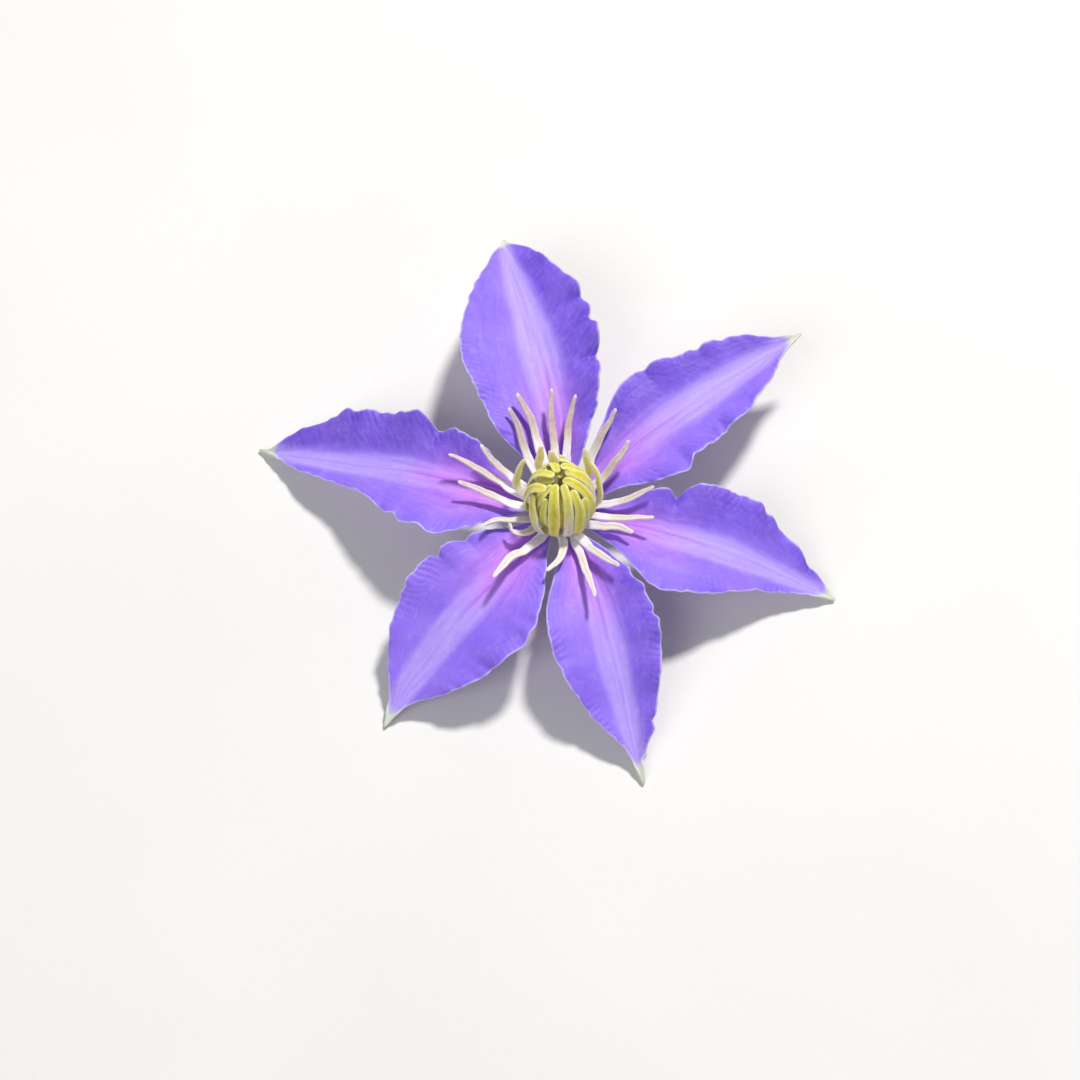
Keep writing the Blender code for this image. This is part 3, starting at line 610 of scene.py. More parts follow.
def strap_piece(name, route, material, shape, width, anther_from, seed, boss=0.0, turned=0.0, heart=None, own=None, rings=64, sides=26):
    """A stamen: a strap-shaped filament that carries two long pollen sacs along
    its edges from anther_from to the tip. Its face turns away from the flower's
    axis, or from the point heart."""
    rng = np.random.RandomState(seed)
    share = np.concatenate([np.linspace(0, 0.962, rings - 6), [0.974, 0.984, 0.991, 0.996, 0.999, 1.0]])
    points = along_path(route, share)
    length = np.linalg.norm(np.diff(points, axis=0), axis=1).sum()
    points = smoothed(points, 3)
    along = unit(np.gradient(points, axis=0))
    if heart is None:
        across = np.stack([-points[:, 1], points[:, 0], 0 * points[:, 0]], -1)
    else:
        across = np.cross(along, points - np.array(heart))
    across = unit(across - along * (across * along).sum(-1, keepdims=True))
    up = np.cross(along, across)
    # no strap is drawn with a ruler: it wavers from side to side and up and down
    free = smooth(0.10, 0.35, share) * (1 - 0.5 * smooth(0.9, 1.0, share))
    sway = (0.13 if boss < 1 else 0.09) * free * (wander(seed + 2, share * length, 2.6) + 0.4 * wander(seed + 3, share * length, 1.1))
    lift = (0.08 if boss < 1 else 0.05) * free * wander(seed + 4, share * length, 2.2)
    points = points + across * sway[:, None] + up * lift[:, None]
    loose = 1.0 if boss < 1 else 0.75
    turn = np.radians(turned * np.clip(share / 0.4, 0, 1) + loose * (rng.uniform(-12, 12) + rng.uniform(-28, 28) * share**1.5))
    c, sn = np.cos(turn)[:, None], np.sin(turn)[:, None]
    across, up = across * c + up * sn, up * c - across * sn
    # widths and thicknesses along the strap
    at, part = np.array(shape).T
    part = np.concatenate([part[:-1], [part[-2] * 0.92]])
    w = through(at, part)(share)[:, 0]
    w = w * width * (1 + (0.05 if boss < 1 else 0.09) * wander(seed + 5, share * length, 2.2))
    h = through((0, 0.3, 0.6, 0.95, 1), (1.0, 0.86, 1.0, 0.95, 0.9))(share)[:, 0] * STAMEN_T
    blend = 0.11 if boss < 1 else 0.20
    anther = smooth(anther_from - blend, anther_from + blend, share)
    waist = bump(share - anther_from + 0.02, 0.05)
    w = w * (1 - 0.05 * waist) * (1 + 0.07 * anther)
    h = h * (1 + 0.10 * anther)
    close = np.sqrt(np.clip(1 - ((share - 0.955) / 0.0451) ** 2, 0, 1))
    close = np.where(share > 0.955, np.maximum(close, 0.03), 1)
    phi = np.linspace(0, 2 * math.pi, sides, endpoint=False)
    cx = np.sign(np.cos(phi)) * np.abs(np.cos(phi)) ** 0.85
    sy = np.sign(np.sin(phi)) * np.abs(np.sin(phi)) ** 0.9
    X = np.outer(w * close / 2, cx)
    Y = np.outer(h * close / 2, sy)
    q = cx[None, :] * np.ones((len(share), 1))
    topside = (sy > 0)[None, :]
    # a filament is a shallow channel; an anther has a groove between its sacs
    channel = (1 - anther)[:, None] * 0.38 * bump(q, 0.55)
    groove = anther[:, None] * np.where(topside, 0.62, 0.42) * bump(q, 0.30)
    slit = anther[:, None] * 0.22 * bump(np.abs(q) - 0.66, 0.12)
    Y = Y * (1 - np.where(topside, channel, 0.25 * channel) - groove - slit)
    # uneven, slightly pinched surface
    ripple = 1 + 0.05 * anther[:, None] * np.sin(2 * np.pi * share[:, None] * length / 0.55 + 3 * wander(seed + 8, share * length, 1.2)[:, None] + 2.0 * q)
    Y = Y * ripple
    edge_wave = 0.05 * wander(seed + 9, share * length, 0.8)
    X = X + np.outer(edge_wave * close, np.abs(cx))
    P = points[:, None] + across[:, None] * X[..., None] + up[:, None] * Y[..., None]
    R, C = P.shape[:2]
    quads = grid(R, C, 0, False, True)
    caps = [tuple(range(C))[::-1], tuple((R - 1) * C + j for j in range(C))]
    attributes = {
        "along": np.repeat(share, C),
        "along_mm": np.repeat(share * length, C),
        "cross": q.ravel(),
        "anther": np.repeat(anther, C),
        # groove: the channel and the groove between the sacs, darkened in the material as painted shade
        "groove": (anther[:, None] * bump(q, 0.30) + (1 - anther)[:, None] * 0.5 * bump(q, 0.5)).ravel(),
        "boss": np.full(R * C, boss),
        "own": np.full(R * C, rng.uniform(0, 1) if own is None else own),
    }
    return make("look_" + name, P.reshape(-1, 3), quads, material, attributes, caps)


def outer_path(tier, azimuth, bearings, reach, rise, curl):
    """From inside the receptacle outward, rising a little faster towards the tip."""
    root = OUTER_ROOT_R - 0.1 * tier
    t = np.array([0, 0.25, 0.5, 0.7, 0.85, 1])
    bearing = through((0, 1 / 3, 2 / 3, 1), (azimuth, *bearings))(t)[:, 0]
    radius = root + (reach - root) * t - curl * t**6
    z = 9.2 + 0.5 * tier
    rows = np.column_stack([radius, bearing, z + rise * t**1.15])
    return polar(np.vstack([(1.9, azimuth, z - 0.15), rows]))


def raised_path(azimuth, tip_azimuth, knee, tip_radius, tip_z):
    """Outward from the root, round a knee, and up, drawn in towards the tip."""
    t = np.array([0.22, 0.42, 0.62, 0.82, 1])
    rows = np.column_stack([
        knee + (tip_radius - knee) * t**3,
        azimuth + (tip_azimuth - azimuth) * t,
        10.6 + (tip_z - 10.6) * (1.2 * t - 0.2 * t**2),
    ])
    root = [(RAISED_ROOT_R - 0.9, azimuth, 10.1), (RAISED_ROOT_R, azimuth, 10.3), (knee - 1.0, azimuth, 10.6)]
    return polar(np.vstack([root, rows]))


def boss_path(profile, azimuth, swing, aside, reach, inside=1.0):
    """Up the boss's side and in over its top, on the boss's leaning axis."""
    profile = np.array(profile)
    share = np.linspace(0, 1, 13)
    rz = along_path(np.column_stack([profile, 0 * profile[:, 0]]), share * reach)
    bearing = azimuth + swing * share**1.5
    path = polar(np.column_stack([rz[:, 0], bearing, rz[:, 1]]))
    path += (aside * share**4)[:, None] * polar(np.column_stack([0 * share + 1, bearing + 90, 0 * share]))
    x, y, slope = BOSS_LEAN
    settle = np.clip(share / 0.3, 0, 1)
    path[:, 0] += settle * x
    path[:, 1] += settle * (y + slope * (path[:, 2] - BOSS_FOOT_Z))
    root = polar([(max(profile[0, 0] - inside, 0.3), azimuth, profile[0, 1] - 0.25)])
    return np.concatenate([root, path])


# ---------------------------------------------------------------------------
# Stalk, receptacle and pistil
# ---------------------------------------------------------------------------
def stalk_piece(material, sides=72):
    route = np.array((
        (-1.5, 24.0, PEDICEL_R + 0.02, PEDICEL_R),
        (-1.2, 19.0, PEDICEL_R + 0.05, PEDICEL_R),
        (-0.9, 14.0, PEDICEL_R + 0.15, PEDICEL_R),
        (-0.6, 9.0, 1.55, PEDICEL_R),
        (-0.35, 5.0, 2.5, PEDICEL_R),
        (-0.15, 2.2, 4.0, PEDICEL_R),
        (0.0, 0.55, 5.7, 1.08),
        (0.0, 0.1, 6.9, 1.3),
        (0.0, 0.0, 7.6, 1.9),
        (0.0, 0.0, 8.1, 2.6),
        (0.0, 0.0, 8.7, RECEPTACLE_R),
        (0.0, 0.0, 9.3, RECEPTACLE_R),
        (0.0, 0.0, 9.9, 2.6),
        (0.0, 0.0, 10.5, 2.1),
        (0.0, 0.0, RECEPTACLE_TOP_Z - 0.35, 1.5),
        (0.0, 0.0, RECEPTACLE_TOP_Z, 0.7),
    ))
    at = through(np.arange(len(route)), route)
    q = at(np.concatenate([np.linspace(0, 7, 150), np.linspace(7.05, len(route) - 1, 90)]))
    centre, radius = q[:, :3], q[:, 3]
    run = np.concatenate([[0], np.cumsum(np.linalg.norm(np.diff(centre, axis=0), axis=1))])
    along = unit(np.gradient(centre, axis=0))
    across = np.tile([1.0, 0.0, 0.0], (len(q), 1))
    across = unit(across - along * (across * along).sum(-1, keepdims=True))
    up = np.cross(along, across)
    phi = np.linspace(0, 2 * math.pi, sides, endpoint=False)
    stem = 1 - smooth(6.6, 7.9, centre[:, 2])
    # six blunt ridges with grooves between, slightly twisted, and small warts of down
    ridge = np.cos(6 * (phi[None, :] + 0.02 * run[:, None])) * 0.055 + 0.018 * np.cos(17 * phi[None, :] + 2.0 * wander(3, run, 2.0)[:, None])
    lump = 0.03 * wander2(7, run[:, None] + 0 * phi[None, :], 3 * np.cos(phi)[None, :] + 9 * np.sin(phi)[None, :], 1.4, 1.2)
    dents = (1 - stem)[:, None] * 0.05 * np.cos(18 * phi)[None, :] * np.cos(2 * np.pi * centre[:, 2] / 0.75)[:, None]
    swell = radius * (0.955 + 0.02 * wander(12, run, 3.0) * stem)
    rr = swell[:, None] * (1 + stem[:, None] * (ridge + lump)) + dents * 2.0
    P = centre[:, None] + across[:, None] * (rr * np.cos(phi))[..., None] + up[:, None] * (rr * np.sin(phi))[..., None]
    # the cut end: a slightly dished face with a darker ring of wood and a pale pith
    face = []
    outward = -along[0]
    for f, dish in ((0.97, 0.02), (0.85, -0.02), (0.70, -0.05), (0.52, -0.03), (0.34, 0.03), (0.15, 0.05)):
        face.append(centre[0] + (P[0] - centre[0]) * f + outward * dish)
    face = np.array(face)[::-1]
    P = np.concatenate([face, P])
    R, C = P.shape[:2]
    P[..., 2] = np.maximum(P[..., 2], 0.0)
    cut = np.concatenate([np.repeat([0.15, 0.34, 0.52, 0.70, 0.85, 0.97], 1), np.full(len(q), 2.0)])
    run = np.concatenate([np.zeros(6), run])
    attributes = {
        "cut": np.repeat(cut, C),
        "along_mm": np.repeat(run, C),
        "round": np.tile(np.abs(phi / math.pi - 1), R),
        "ridge": np.concatenate([np.zeros((6, C)), np.clip(ridge / 0.073, -1, 1)]).ravel(),
        "stem": np.repeat(np.concatenate([np.ones(6), stem]), C),
    }
    quads = grid(R, C, 0, False, True)
    caps = [tuple(range(C))[::-1], tuple((R - 1) * C + j for j in range(C))]
    return make("look_pedicel_and_receptacle", P.reshape(-1, 3), quads, material, attributes, caps)


def pistil_piece(material):
    """The head of carpels, each with a long silky style; the styles are drawn
    together into a twisted sheaf."""
    z0 = RECEPTACLE_TOP_Z + 0.06
    all_points, all_quads, caps = [], [], []
    keys = {"along": [], "silk": []}
    start = 0
    sides, rings = 8, 26
    rows = [(18, 0.86, 0.0), (12, 0.60, 0.5), (6, 0.32, 0.0), (1, 0.0, 0.0)]
    number = 0
    for count, ring_r, offset in rows:
        for i in range(count):
            number += 1
            a0 = 2 * math.pi * (i + offset) / count
            share = np.linspace(0, 1, rings)
            tall = 5.40 - 0.45 * abs(wander(40 + number, 1.0, 1.0)) - 0.35 * (ring_r / 0.86) ** 2
            z = z0 - 0.35 + share * tall
            squeeze = through((0, 0.16, 0.4, 0.8, 1), (0.72, 1.0, 0.92, 0.98, 0.80))(share)[:, 0]
            a = a0 + 1.1 * share + 0.1 * wander(80 + number, share * 5, 1.3)
            r = ring_r * squeeze
            lean = -1.25 * np.clip(z - z0, 0, None) / 5.2
            path = np.stack([r * np.cos(a), r * np.sin(a) + lean, z], -1)
            body = through((0, 0.10, 0.22, 0.36, 0.6, 0.93, 1), (0.10, 0.20, 0.21, 0.15, 0.14, 0.15, 0.05))(share)[:, 0]
            along = unit(np.gradient(path, axis=0))
            x = unit(np.cross(along, np.array([0.0, 1.0, 0.0])))
            y = np.cross(along, x)
            phi = np.linspace(0, 2 * math.pi, sides, endpoint=False)
            P = path[:, None] + x[:, None] * (body[:, None] * np.cos(phi))[..., None] + y[:, None] * (body[:, None] * np.sin(phi))[..., None]
            all_points.append(P.reshape(-1, 3))
            all_quads.append(grid(rings, sides, start, False, True))
            caps.append(tuple(start + k for k in range(sides))[::-1])
            caps.append(tuple(start + (rings - 1) * sides + k for k in range(sides)))
            keys["along"].append(np.repeat(share, sides))
            keys["silk"].append(np.full(rings * sides, number / 37))
            start += rings * sides
    return make(
        "look_carpels_and_styles",
        np.concatenate(all_points),
        np.concatenate(all_quads),
        material,
        {k: np.concatenate(v) for k, v in keys.items()},
        caps,
    )


# ---------------------------------------------------------------------------
# Materials
# ---------------------------------------------------------------------------
class Nodes:
    """A small helper for wiring a material's nodes."""

    def __init__(self, name, roughness, **constants):
        self.material = bpy.data.materials.new(name)
        self.material.use_nodes = True
        self.tree = self.material.node_tree
        self.shader = self.tree.nodes["Principled BSDF"]
        self.shader.inputs["Roughness"].default_value = roughness
        for key, value in constants.items():
            self.shader.inputs[key.replace("_", " ")].default_value = value

    def add(self, kind, **settings):
        node = self.tree.nodes.new(kind)
        for key, value in settings.items():
            setattr(node, key, value)
        return node

    def link(self, a, b):
        self.tree.links.new(a, b)

    def put(self, socket, value):
        if hasattr(value, "is_output"):
            self.link(value, socket)
        else:
            socket.default_value = value

    def attr(self, name):
        node = self.add("ShaderNodeAttribute", attribute_type="GEOMETRY", attribute_name=name)
        return node.outputs["Fac"]

    def math(self, op, a, b=0.5, c=0.5, clamp=False):
        node = self.add("ShaderNodeMath", operation=op, use_clamp=clamp)
        for socket, value in zip(node.inputs, (a, b, c)):
            self.put(socket, value)
        return node.outputs[0]

    def ramp(self, value, low, high, to_low=0.0, to_high=1.0):
        node = self.add("ShaderNodeMapRange", interpolation_type="SMOOTHSTEP", clamp=True)
        self.put(node.inputs["Value"], value)
        self.put(node.inputs["From Min"], low)
        self.put(node.inputs["From Max"], high)
        self.put(node.inputs["To Min"], to_low)
        self.put(node.inputs["To Max"], to_high)
        return node.outputs["Result"]

    def mix(self, factor, a, b, blend="MIX"):
        node = self.add("ShaderNodeMix", data_type="RGBA", blend_type=blend, clamp_factor=True)
        self.put(node.inputs[0], factor)
        self.put(node.inputs[6], (*a, 1) if isinstance(a, tuple) else a)
        self.put(node.inputs[7], (*b, 1) if isinstance(b, tuple) else b)
        return node.outputs[2]

    def vector(self, x=0.0, y=0.0, z=0.0):
        node = self.add("ShaderNodeCombineXYZ")
        for socket, value in zip(node.inputs, (x, y, z)):
            self.put(socket, value)
        return node.outputs[0]

    def noise(self, vector, scale, detail=3.0, rough=0.5, distortion=0.0):
        node = self.add("ShaderNodeTexNoise", noise_dimensions="3D")
        self.put(node.inputs["Vector"], vector)
        node.inputs["Scale"].default_value = scale
        node.inputs["Detail"].default_value = detail
        node.inputs["Roughness"].default_value = rough
        node.inputs["Distortion"].default_value = distortion
        return node.outputs["Fac"]

    def cells(self, vector, scale, feature="F1"):
        node = self.add("ShaderNodeTexVoronoi", feature=feature)
        self.put(node.inputs["Vector"], vector)
        node.inputs["Scale"].default_value = scale
        return node.outputs["Distance"]

    def position(self):
        return self.add("ShaderNodeTexCoord").outputs["Object"]

    def ridge(self, value, width):
        """1 along the lines where value passes 0.5, fading over width."""
        away = self.math("ABSOLUTE", self.math("SUBTRACT", value, 0.5))
        return self.ramp(away, 0.0, width, 1.0, 0.0)

    def bumps(self, layers):
        """Bump layers of (height, strength, distance in mm), each on the last."""
        normal = None
        for height, strength, distance in layers:
            node = self.add("ShaderNodeBump")
            node.inputs["Strength"].default_value = strength
            node.inputs["Distance"].default_value = distance * MM
            self.put(node.inputs["Height"], height)
            if normal is not None:
                self.link(normal, node.inputs["Normal"])
            normal = node.outputs["Normal"]
        self.link(normal, self.shader.inputs["Normal"])

    def finish(self, colour, roughness=None):
        self.link(colour, self.shader.inputs["Base Color"])
        if roughness is not None:
            self.link(roughness, self.shader.inputs["Roughness"])
        return self.material


def tepal_material():
    n = Nodes(
        "tepal_skin", 0.55,
        Specular_IOR_Level=0.32, Sheen_Weight=0.18, Sheen_Roughness=0.45, Sheen_Tint=(0.80, 0.72, 1.0, 1),
        Subsurface_Weight=0.10, Subsurface_Radius=(0.9, 0.5, 1.4), Subsurface_Scale=0.0006,
    )
    along, share = n.attr("along"), n.attr("share")
    along_mm, across_mm, edge = n.attr("along_mm"), n.attr("across_mm"), n.attr("edge_mm")
    bar, flush, under, rib = n.attr("bar"), n.attr("flush"), n.attr("under"), n.attr("rib")
    where = n.position()
    # tissue drawn out along the veins, in millimetres
    flow = n.vector(n.math("MULTIPLY", share, 7.0), n.math("MULTIPLY", along_mm, 0.10), 0.0)
    fine_flow = n.vector(n.math("MULTIPLY", share, 26.0), n.math("MULTIPLY", along_mm, 0.30), 3.0)
    streak = n.noise(flow, 1.0, 3.0, 0.55)
    fine_streak = n.noise(fine_flow, 1.0, 3.0, 0.6)
    veins = n.ridge(n.noise(n.vector(n.math("MULTIPLY", share, 9.0), n.math("MULTIPLY", along_mm, 0.05), 7.0), 1.0, 1.0, 0.4), 0.035)
    cloud = n.noise(where, 140.0, 3.0, 0.5)
    mottle = n.noise(where, 900.0, 4.0, 0.6)
    grain = n.noise(where, 4200.0, 2.0, 0.6)
    # colours
    blade = n.mix(n.ramp(cloud, 0.3, 0.7), (0.270, 0.155, 0.850), (0.335, 0.200, 0.895))
    deep = n.ramp(n.math("ABSOLUTE", share), 0.35, 1.0)
    blade = n.mix(n.math("MULTIPLY", deep, 0.42), blade, (0.235, 0.125, 0.800))
    pale = n.mix(n.ramp(streak, 0.35, 0.7), (0.510, 0.390, 0.935), (0.440, 0.310, 0.920))
    bar_soft = n.math("MULTIPLY", bar, n.ramp(fine_streak, 0.2, 0.75, 0.78, 0.92), clamp=True)
    colour = n.mix(bar_soft, blade, pale)
    pink = n.mix(n.ramp(streak, 0.4, 0.62), (0.610, 0.250, 0.890), (0.490, 0.140, 0.750))
    colour = n.mix(n.math("MULTIPLY", flush, n.ramp(cloud, 0.25, 0.7, 0.62, 0.95), clamp=True), colour, pink)
    # painted shade on one blade and painted shadow in its folds: a deeper blue, drawn out in fine slanting wrinkles
    slant = n.vector(n.math("MULTIPLY", n.math("ADD", along_mm, n.math("MULTIPLY", across_mm, 0.8)), 1.5), n.math("MULTIPLY", across_mm, 0.5), 11.0)
    wrinkle = n.noise(slant, 1.0, 3.0, 0.6)
    flank_shade = n.math("MULTIPLY", n.attr("flank_shade"), n.ramp(wrinkle, 0.30, 0.68, 0.55, 1.0), clamp=True)
    colour = n.mix(flank_shade, colour, n.mix(1.0, colour, (0.52, 0.46, 0.70), "MULTIPLY"))
    # veins and the fine drawn-out mottling
    dark = n.mix(1.0, colour, (0.70, 0.62, 0.86), "MULTIPLY")
    colour = n.mix(n.math("MULTIPLY", veins, 0.22), colour, dark)
    centre = n.ramp(n.math("ABSOLUTE", across_mm), 0.0, 0.22, 1.0, 0.0)
    centre = n.math("MULTIPLY", centre, n.ramp(along, 0.96, 0.80))
    colour = n.mix(n.math("MULTIPLY", centre, 0.40), colour, dark)
    colour = n.mix(n.ramp(fine_streak, 0.45, 0.72, 0.0, 0.20), colour, dark)
    # painted sheen: lighter mottled spots stand in for the glint of the velvety surface
    light = n.mix(1.0, colour, (0.16, 0.16, 0.10), "ADD")
    colour = n.mix(n.ramp(mottle, 0.50, 0.72, 0.0, 0.22), colour, light)
    # downy, almost white rim and the greenish white point
    rim = n.ramp(n.math("ADD", edge, n.math("MULTIPLY", n.math("SUBTRACT", mottle, 0.5), 0.35)), 0.10, 0.34, 1.0, 0.0)
    colour = n.mix(n.math("MULTIPLY", rim, 0.60), colour, (0.66, 0.60, 0.86))
    point = n.ramp(n.math("ADD", n.attr("point"), n.math("MULTIPLY", n.math("SUBTRACT", mottle, 0.5), 0.4)), 0.05, 0.95)
    colour = n.mix(point, colour, (0.68, 0.72, 0.60))
    claw = n.ramp(along, 0.0, 0.10, 1.0, 0.0)
    colour = n.mix(n.math("MULTIPLY", claw, 0.75), colour, (0.50, 0.36, 0.55))
    # back of the tepal: paler, downy, with pinkish green ribs
    back = n.mix(n.ramp(cloud, 0.3, 0.7), (0.430, 0.320, 0.760), (0.500, 0.400, 0.800))
    back = n.mix(n.math("MULTIPLY", bar, 0.55), back, (0.58, 0.50, 0.72))
    back = n.mix(n.math("MULTIPLY", rib, 0.8, clamp=True), back, (0.52, 0.44, 0.50))
    back = n.mix(n.ramp(grain, 0.52, 0.70, 0.0, 0.35), back, (0.74, 0.70, 0.84))
    back = n.mix(n.math("MULTIPLY", claw, 0.8), back, (0.42, 0.44, 0.24))
    back = n.mix(n.math("MULTIPLY", rim, 0.5), back, (0.72, 0.68, 0.84))
    back = n.mix(point, back, (0.60, 0.64, 0.48))
    colour = n.mix(under, colour, back)
    rough = n.math("ADD", n.ramp(mottle, 0.3, 0.7, 0.46, 0.62), n.math("MULTIPLY", under, 0.15))
    n.bumps((
        (streak, 0.30, 0.10),
        (n.math("MULTIPLY", wrinkle, n.attr("flank_shade")), 0.45, 0.10),
        (fine_streak, 0.35, 0.05),
        (n.math("SUBTRACT", 1.0, veins), 0.25, 0.04),
        (mottle, 0.35, 0.045),
        (grain, 0.25, 0.018),
    ))
    return n.finish(colour, rough)


def stamen_material(name, bleed, through_light, reach):
    n = Nodes(
        name, 0.5,
        Specular_IOR_Level=0.38, Sheen_Weight=0.10, Sheen_Roughness=0.5,
        Subsurface_Weight=through_light, Subsurface_Radius=bleed, Subsurface_Scale=reach,
    )
    along, along_mm, cross = n.attr("along"), n.attr("along_mm"), n.attr("cross")
    anther, groove, boss, own = n.attr("anther"), n.attr("groove"), n.attr("boss"), n.attr("own")
    where = n.position()
    flow = n.vector(n.math("MULTIPLY", cross, 3.2), n.math("MULTIPLY", along_mm, 0.45), n.math("MULTIPLY", own, 20.0))
    streak = n.noise(flow, 1.0, 4.0, 0.6)
    mottle = n.noise(where, 1500.0, 4.0, 0.6)
    grains = n.cells(where, 5200.0)
    # spreading stamens: white filaments, cream anthers that turn tan and darker towards the back of the flower, partly
    # their own tan and partly painted shade
    white = n.mix(n.ramp(streak, 0.35, 0.68), (0.98, 0.95, 0.97), (0.82, 0.75, 0.86))
    # painted shade: the filament's channel is darkened grey
    white = n.mix(n.math("MULTIPLY", groove, 0.45, clamp=True), white, (0.66, 0.64, 0.62))
    root = n.ramp(along, 0.02, 0.22, 1.0, 0.0)
    white = n.mix(n.math("MULTIPLY", root, 0.6), white, (0.68, 0.64, 0.60))
    cream = n.mix(n.ramp(own, 0.0, 1.0), (0.97, 0.89, 0.83), (0.52, 0.40, 0.41))
    cream = n.mix(n.ramp(mottle, 0.42, 0.66, 0.0, 0.75), cream, n.mix(n.ramp(own, 0.0, 1.0), (0.98, 0.92, 0.89), (0.66, 0.56, 0.56)))
    sacs = n.ramp(n.math("ABSOLUTE", cross), 0.45, 0.95)
    cream = n.mix(n.math("MULTIPLY", sacs, 0.28), cream, (0.74, 0.64, 0.46))
    # painted shade: the groove between the pollen sacs is darkened
    cream = n.mix(n.math("MULTIPLY", groove, 0.65, clamp=True), cream, (0.58, 0.47, 0.42))
    joint = n.math("MULTIPLY", n.math("MULTIPLY", anther, n.math("SUBTRACT", 1.0, anther)), 4.0)
    tip = n.ramp(along, 0.955, 0.99)
    cream = n.mix(n.math("MULTIPLY", tip, 0.7), cream, (0.90, 0.83, 0.78))
    spread = n.mix(anther, white, cream)
    spread = n.mix(n.math("MULTIPLY", joint, 0.30), spread, (0.62, 0.58, 0.34))
    # boss stamens: yellow, lighter along the edges, with painted shade, olive, in the grooves
    yellow = n.mix(n.ramp(n.math("ADD", mottle, n.math("MULTIPLY", own, 0.3)), 0.40, 0.85), (0.80, 0.72, 0.08), (0.90, 0.84, 0.20))
    rim = n.ramp(n.math("ABSOLUTE", cross), 0.52, 0.95)
    yellow = n.mix(n.math("MULTIPLY", rim, 0.9), yellow, (0.95, 0.91, 0.52))
    # painted shade: the groove down each strap is darkened olive
    yellow = n.mix(n.math("MULTIPLY", groove, 0.70, clamp=True), yellow, (0.60, 0.52, 0.015))
    foot = n.mix(n.ramp(streak, 0.35, 0.68), (0.86, 0.80, 0.64), (0.72, 0.64, 0.50))
    inner = n.mix(anther, foot, yellow)
    inner = n.mix(n.math("MULTIPLY", tip, 0.4), inner, (0.90, 0.84, 0.46))
    colour = n.mix(boss, spread, inner)
    shade = n.mix(1.0, colour, n.mix(boss, (0.86, 0.80, 0.88), (0.78, 0.74, 0.62)), "MULTIPLY")
    colour = n.mix(n.ramp(streak, 0.50, 0.80, 0.0, 0.45), colour, shade)
    patch = n.noise(n.vector(n.math("MULTIPLY", cross, 0.6), n.math("MULTIPLY", along_mm, 0.9), n.math("MULTIPLY", own, 31.0)), 1.0, 3.0, 0.6)
    worn = n.mix(1.0, colour, n.mix(boss, (0.91, 0.84, 0.80), (0.80, 0.76, 0.55)), "MULTIPLY")
    colour = n.mix(n.ramp(patch, 0.50, 0.66, 0.0, 0.55), colour, worn)
    colour = n.mix(n.math("MULTIPLY", n.math("MULTIPLY", anther, n.ramp(grains, 0.25, 0.60)), 0.30), colour, shade)
    n.bumps((
        (streak, 0.45, 0.07),
        (mottle, 0.45, 0.04),
        (n.math("MULTIPLY", grains, anther), 0.35, 0.035),
    ))
    return n.finish(colour, n.ramp(mottle, 0.3, 0.7, 0.36, 0.60))


def stalk_material():
    n = Nodes(
        "stalk_skin", 0.6,
        Specular_IOR_Level=0.3, Sheen_Weight=0.35, Sheen_Roughness=0.5, Sheen_Tint=(0.9, 0.9, 0.8, 1),
        Subsurface_Weight=0.06, Subsurface_Radius=(0.6, 0.9, 0.3), Subsurface_Scale=0.0005,
    )
    cut, along_mm, round_, ridge, stem = n.attr("cut"), n.attr("along_mm"), n.attr("round"), n.attr("ridge"), n.attr("stem")
    where = n.position()
    flow = n.vector(n.math("MULTIPLY", round_, 16.0), n.math("MULTIPLY", along_mm, 0.22), 0.0)
    streak = n.noise(flow, 1.0, 4.0, 0.6)
    mottle = n.noise(where, 1200.0, 4.0, 0.6)
    down = n.noise(where, 5200.0, 3.0, 0.6)
    green = n.mix(n.ramp(streak, 0.35, 0.65), (0.150, 0.235, 0.055), (0.215, 0.290, 0.085))
    bronze = n.mix(n.ramp(mottle, 0.4, 0.65), (0.235, 0.120, 0.090), (0.180, 0.100, 0.095))
    colour = n.mix(n.math("MULTIPLY", n.ramp(ridge, -0.2, 0.9), n.ramp(along_mm, 22.0, 6.0, 0.25, 0.85)), green, bronze)
    colour = n.mix(n.ramp(down, 0.54, 0.68, 0.0, 0.55), colour, (0.58, 0.60, 0.46))
    head = n.mix(n.ramp(mottle, 0.4, 0.65), (0.36, 0.42, 0.16), (0.46, 0.50, 0.24))
    colour = n.mix(stem, head, colour)
    wood = n.mix(n.ramp(cut, 0.30, 0.42), (0.62, 0.66, 0.42), (0.44, 0.52, 0.24))
    wood = n.mix(n.ramp(cut, 0.62, 0.78), wood, (0.24, 0.30, 0.10))
    wood = n.mix(n.ramp(mottle, 0.45, 0.7, 0.0, 0.5), wood, (0.68, 0.66, 0.46))
    colour = n.mix(n.ramp(cut, 0.98, 1.2), wood, colour)
    n.bumps(((streak, 0.45, 0.08), (mottle, 0.35, 0.04), (down, 0.5, 0.035)))
    return n.finish(colour, n.ramp(mottle, 0.3, 0.7, 0.5, 0.7))


def style_material():
    n = Nodes(
        "style_skin", 0.5,
        Specular_IOR_Level=0.3, Sheen_Weight=0.08, Sheen_Roughness=0.4, Sheen_Tint=(1.0, 0.95, 0.5, 1),
        Subsurface_Weight=0.5, Subsurface_Radius=(1.0, 0.9, 0.2), Subsurface_Scale=0.0010,
    )
    along, silk = n.attr("along"), n.attr("silk")
    where = n.position()
    hair = n.noise(where, 3600.0, 3.0, 0.6)
    tone = n.mix(silk, (0.66, 0.58, 0.06), (0.78, 0.68, 0.12))
    colour = n.mix(n.ramp(along, 0.10, 0.40), (0.30, 0.38, 0.12), tone)
    colour = n.mix(n.ramp(along, 0.70, 0.95, 0.0, 0.85), colour, (0.74, 0.62, 0.04))
    colour = n.mix(n.ramp(hair, 0.50, 0.68, 0.0, 0.35), colour, (0.84, 0.78, 0.26))
    n.bumps(((hair, 0.5, 0.04),))
    return n.finish(colour)


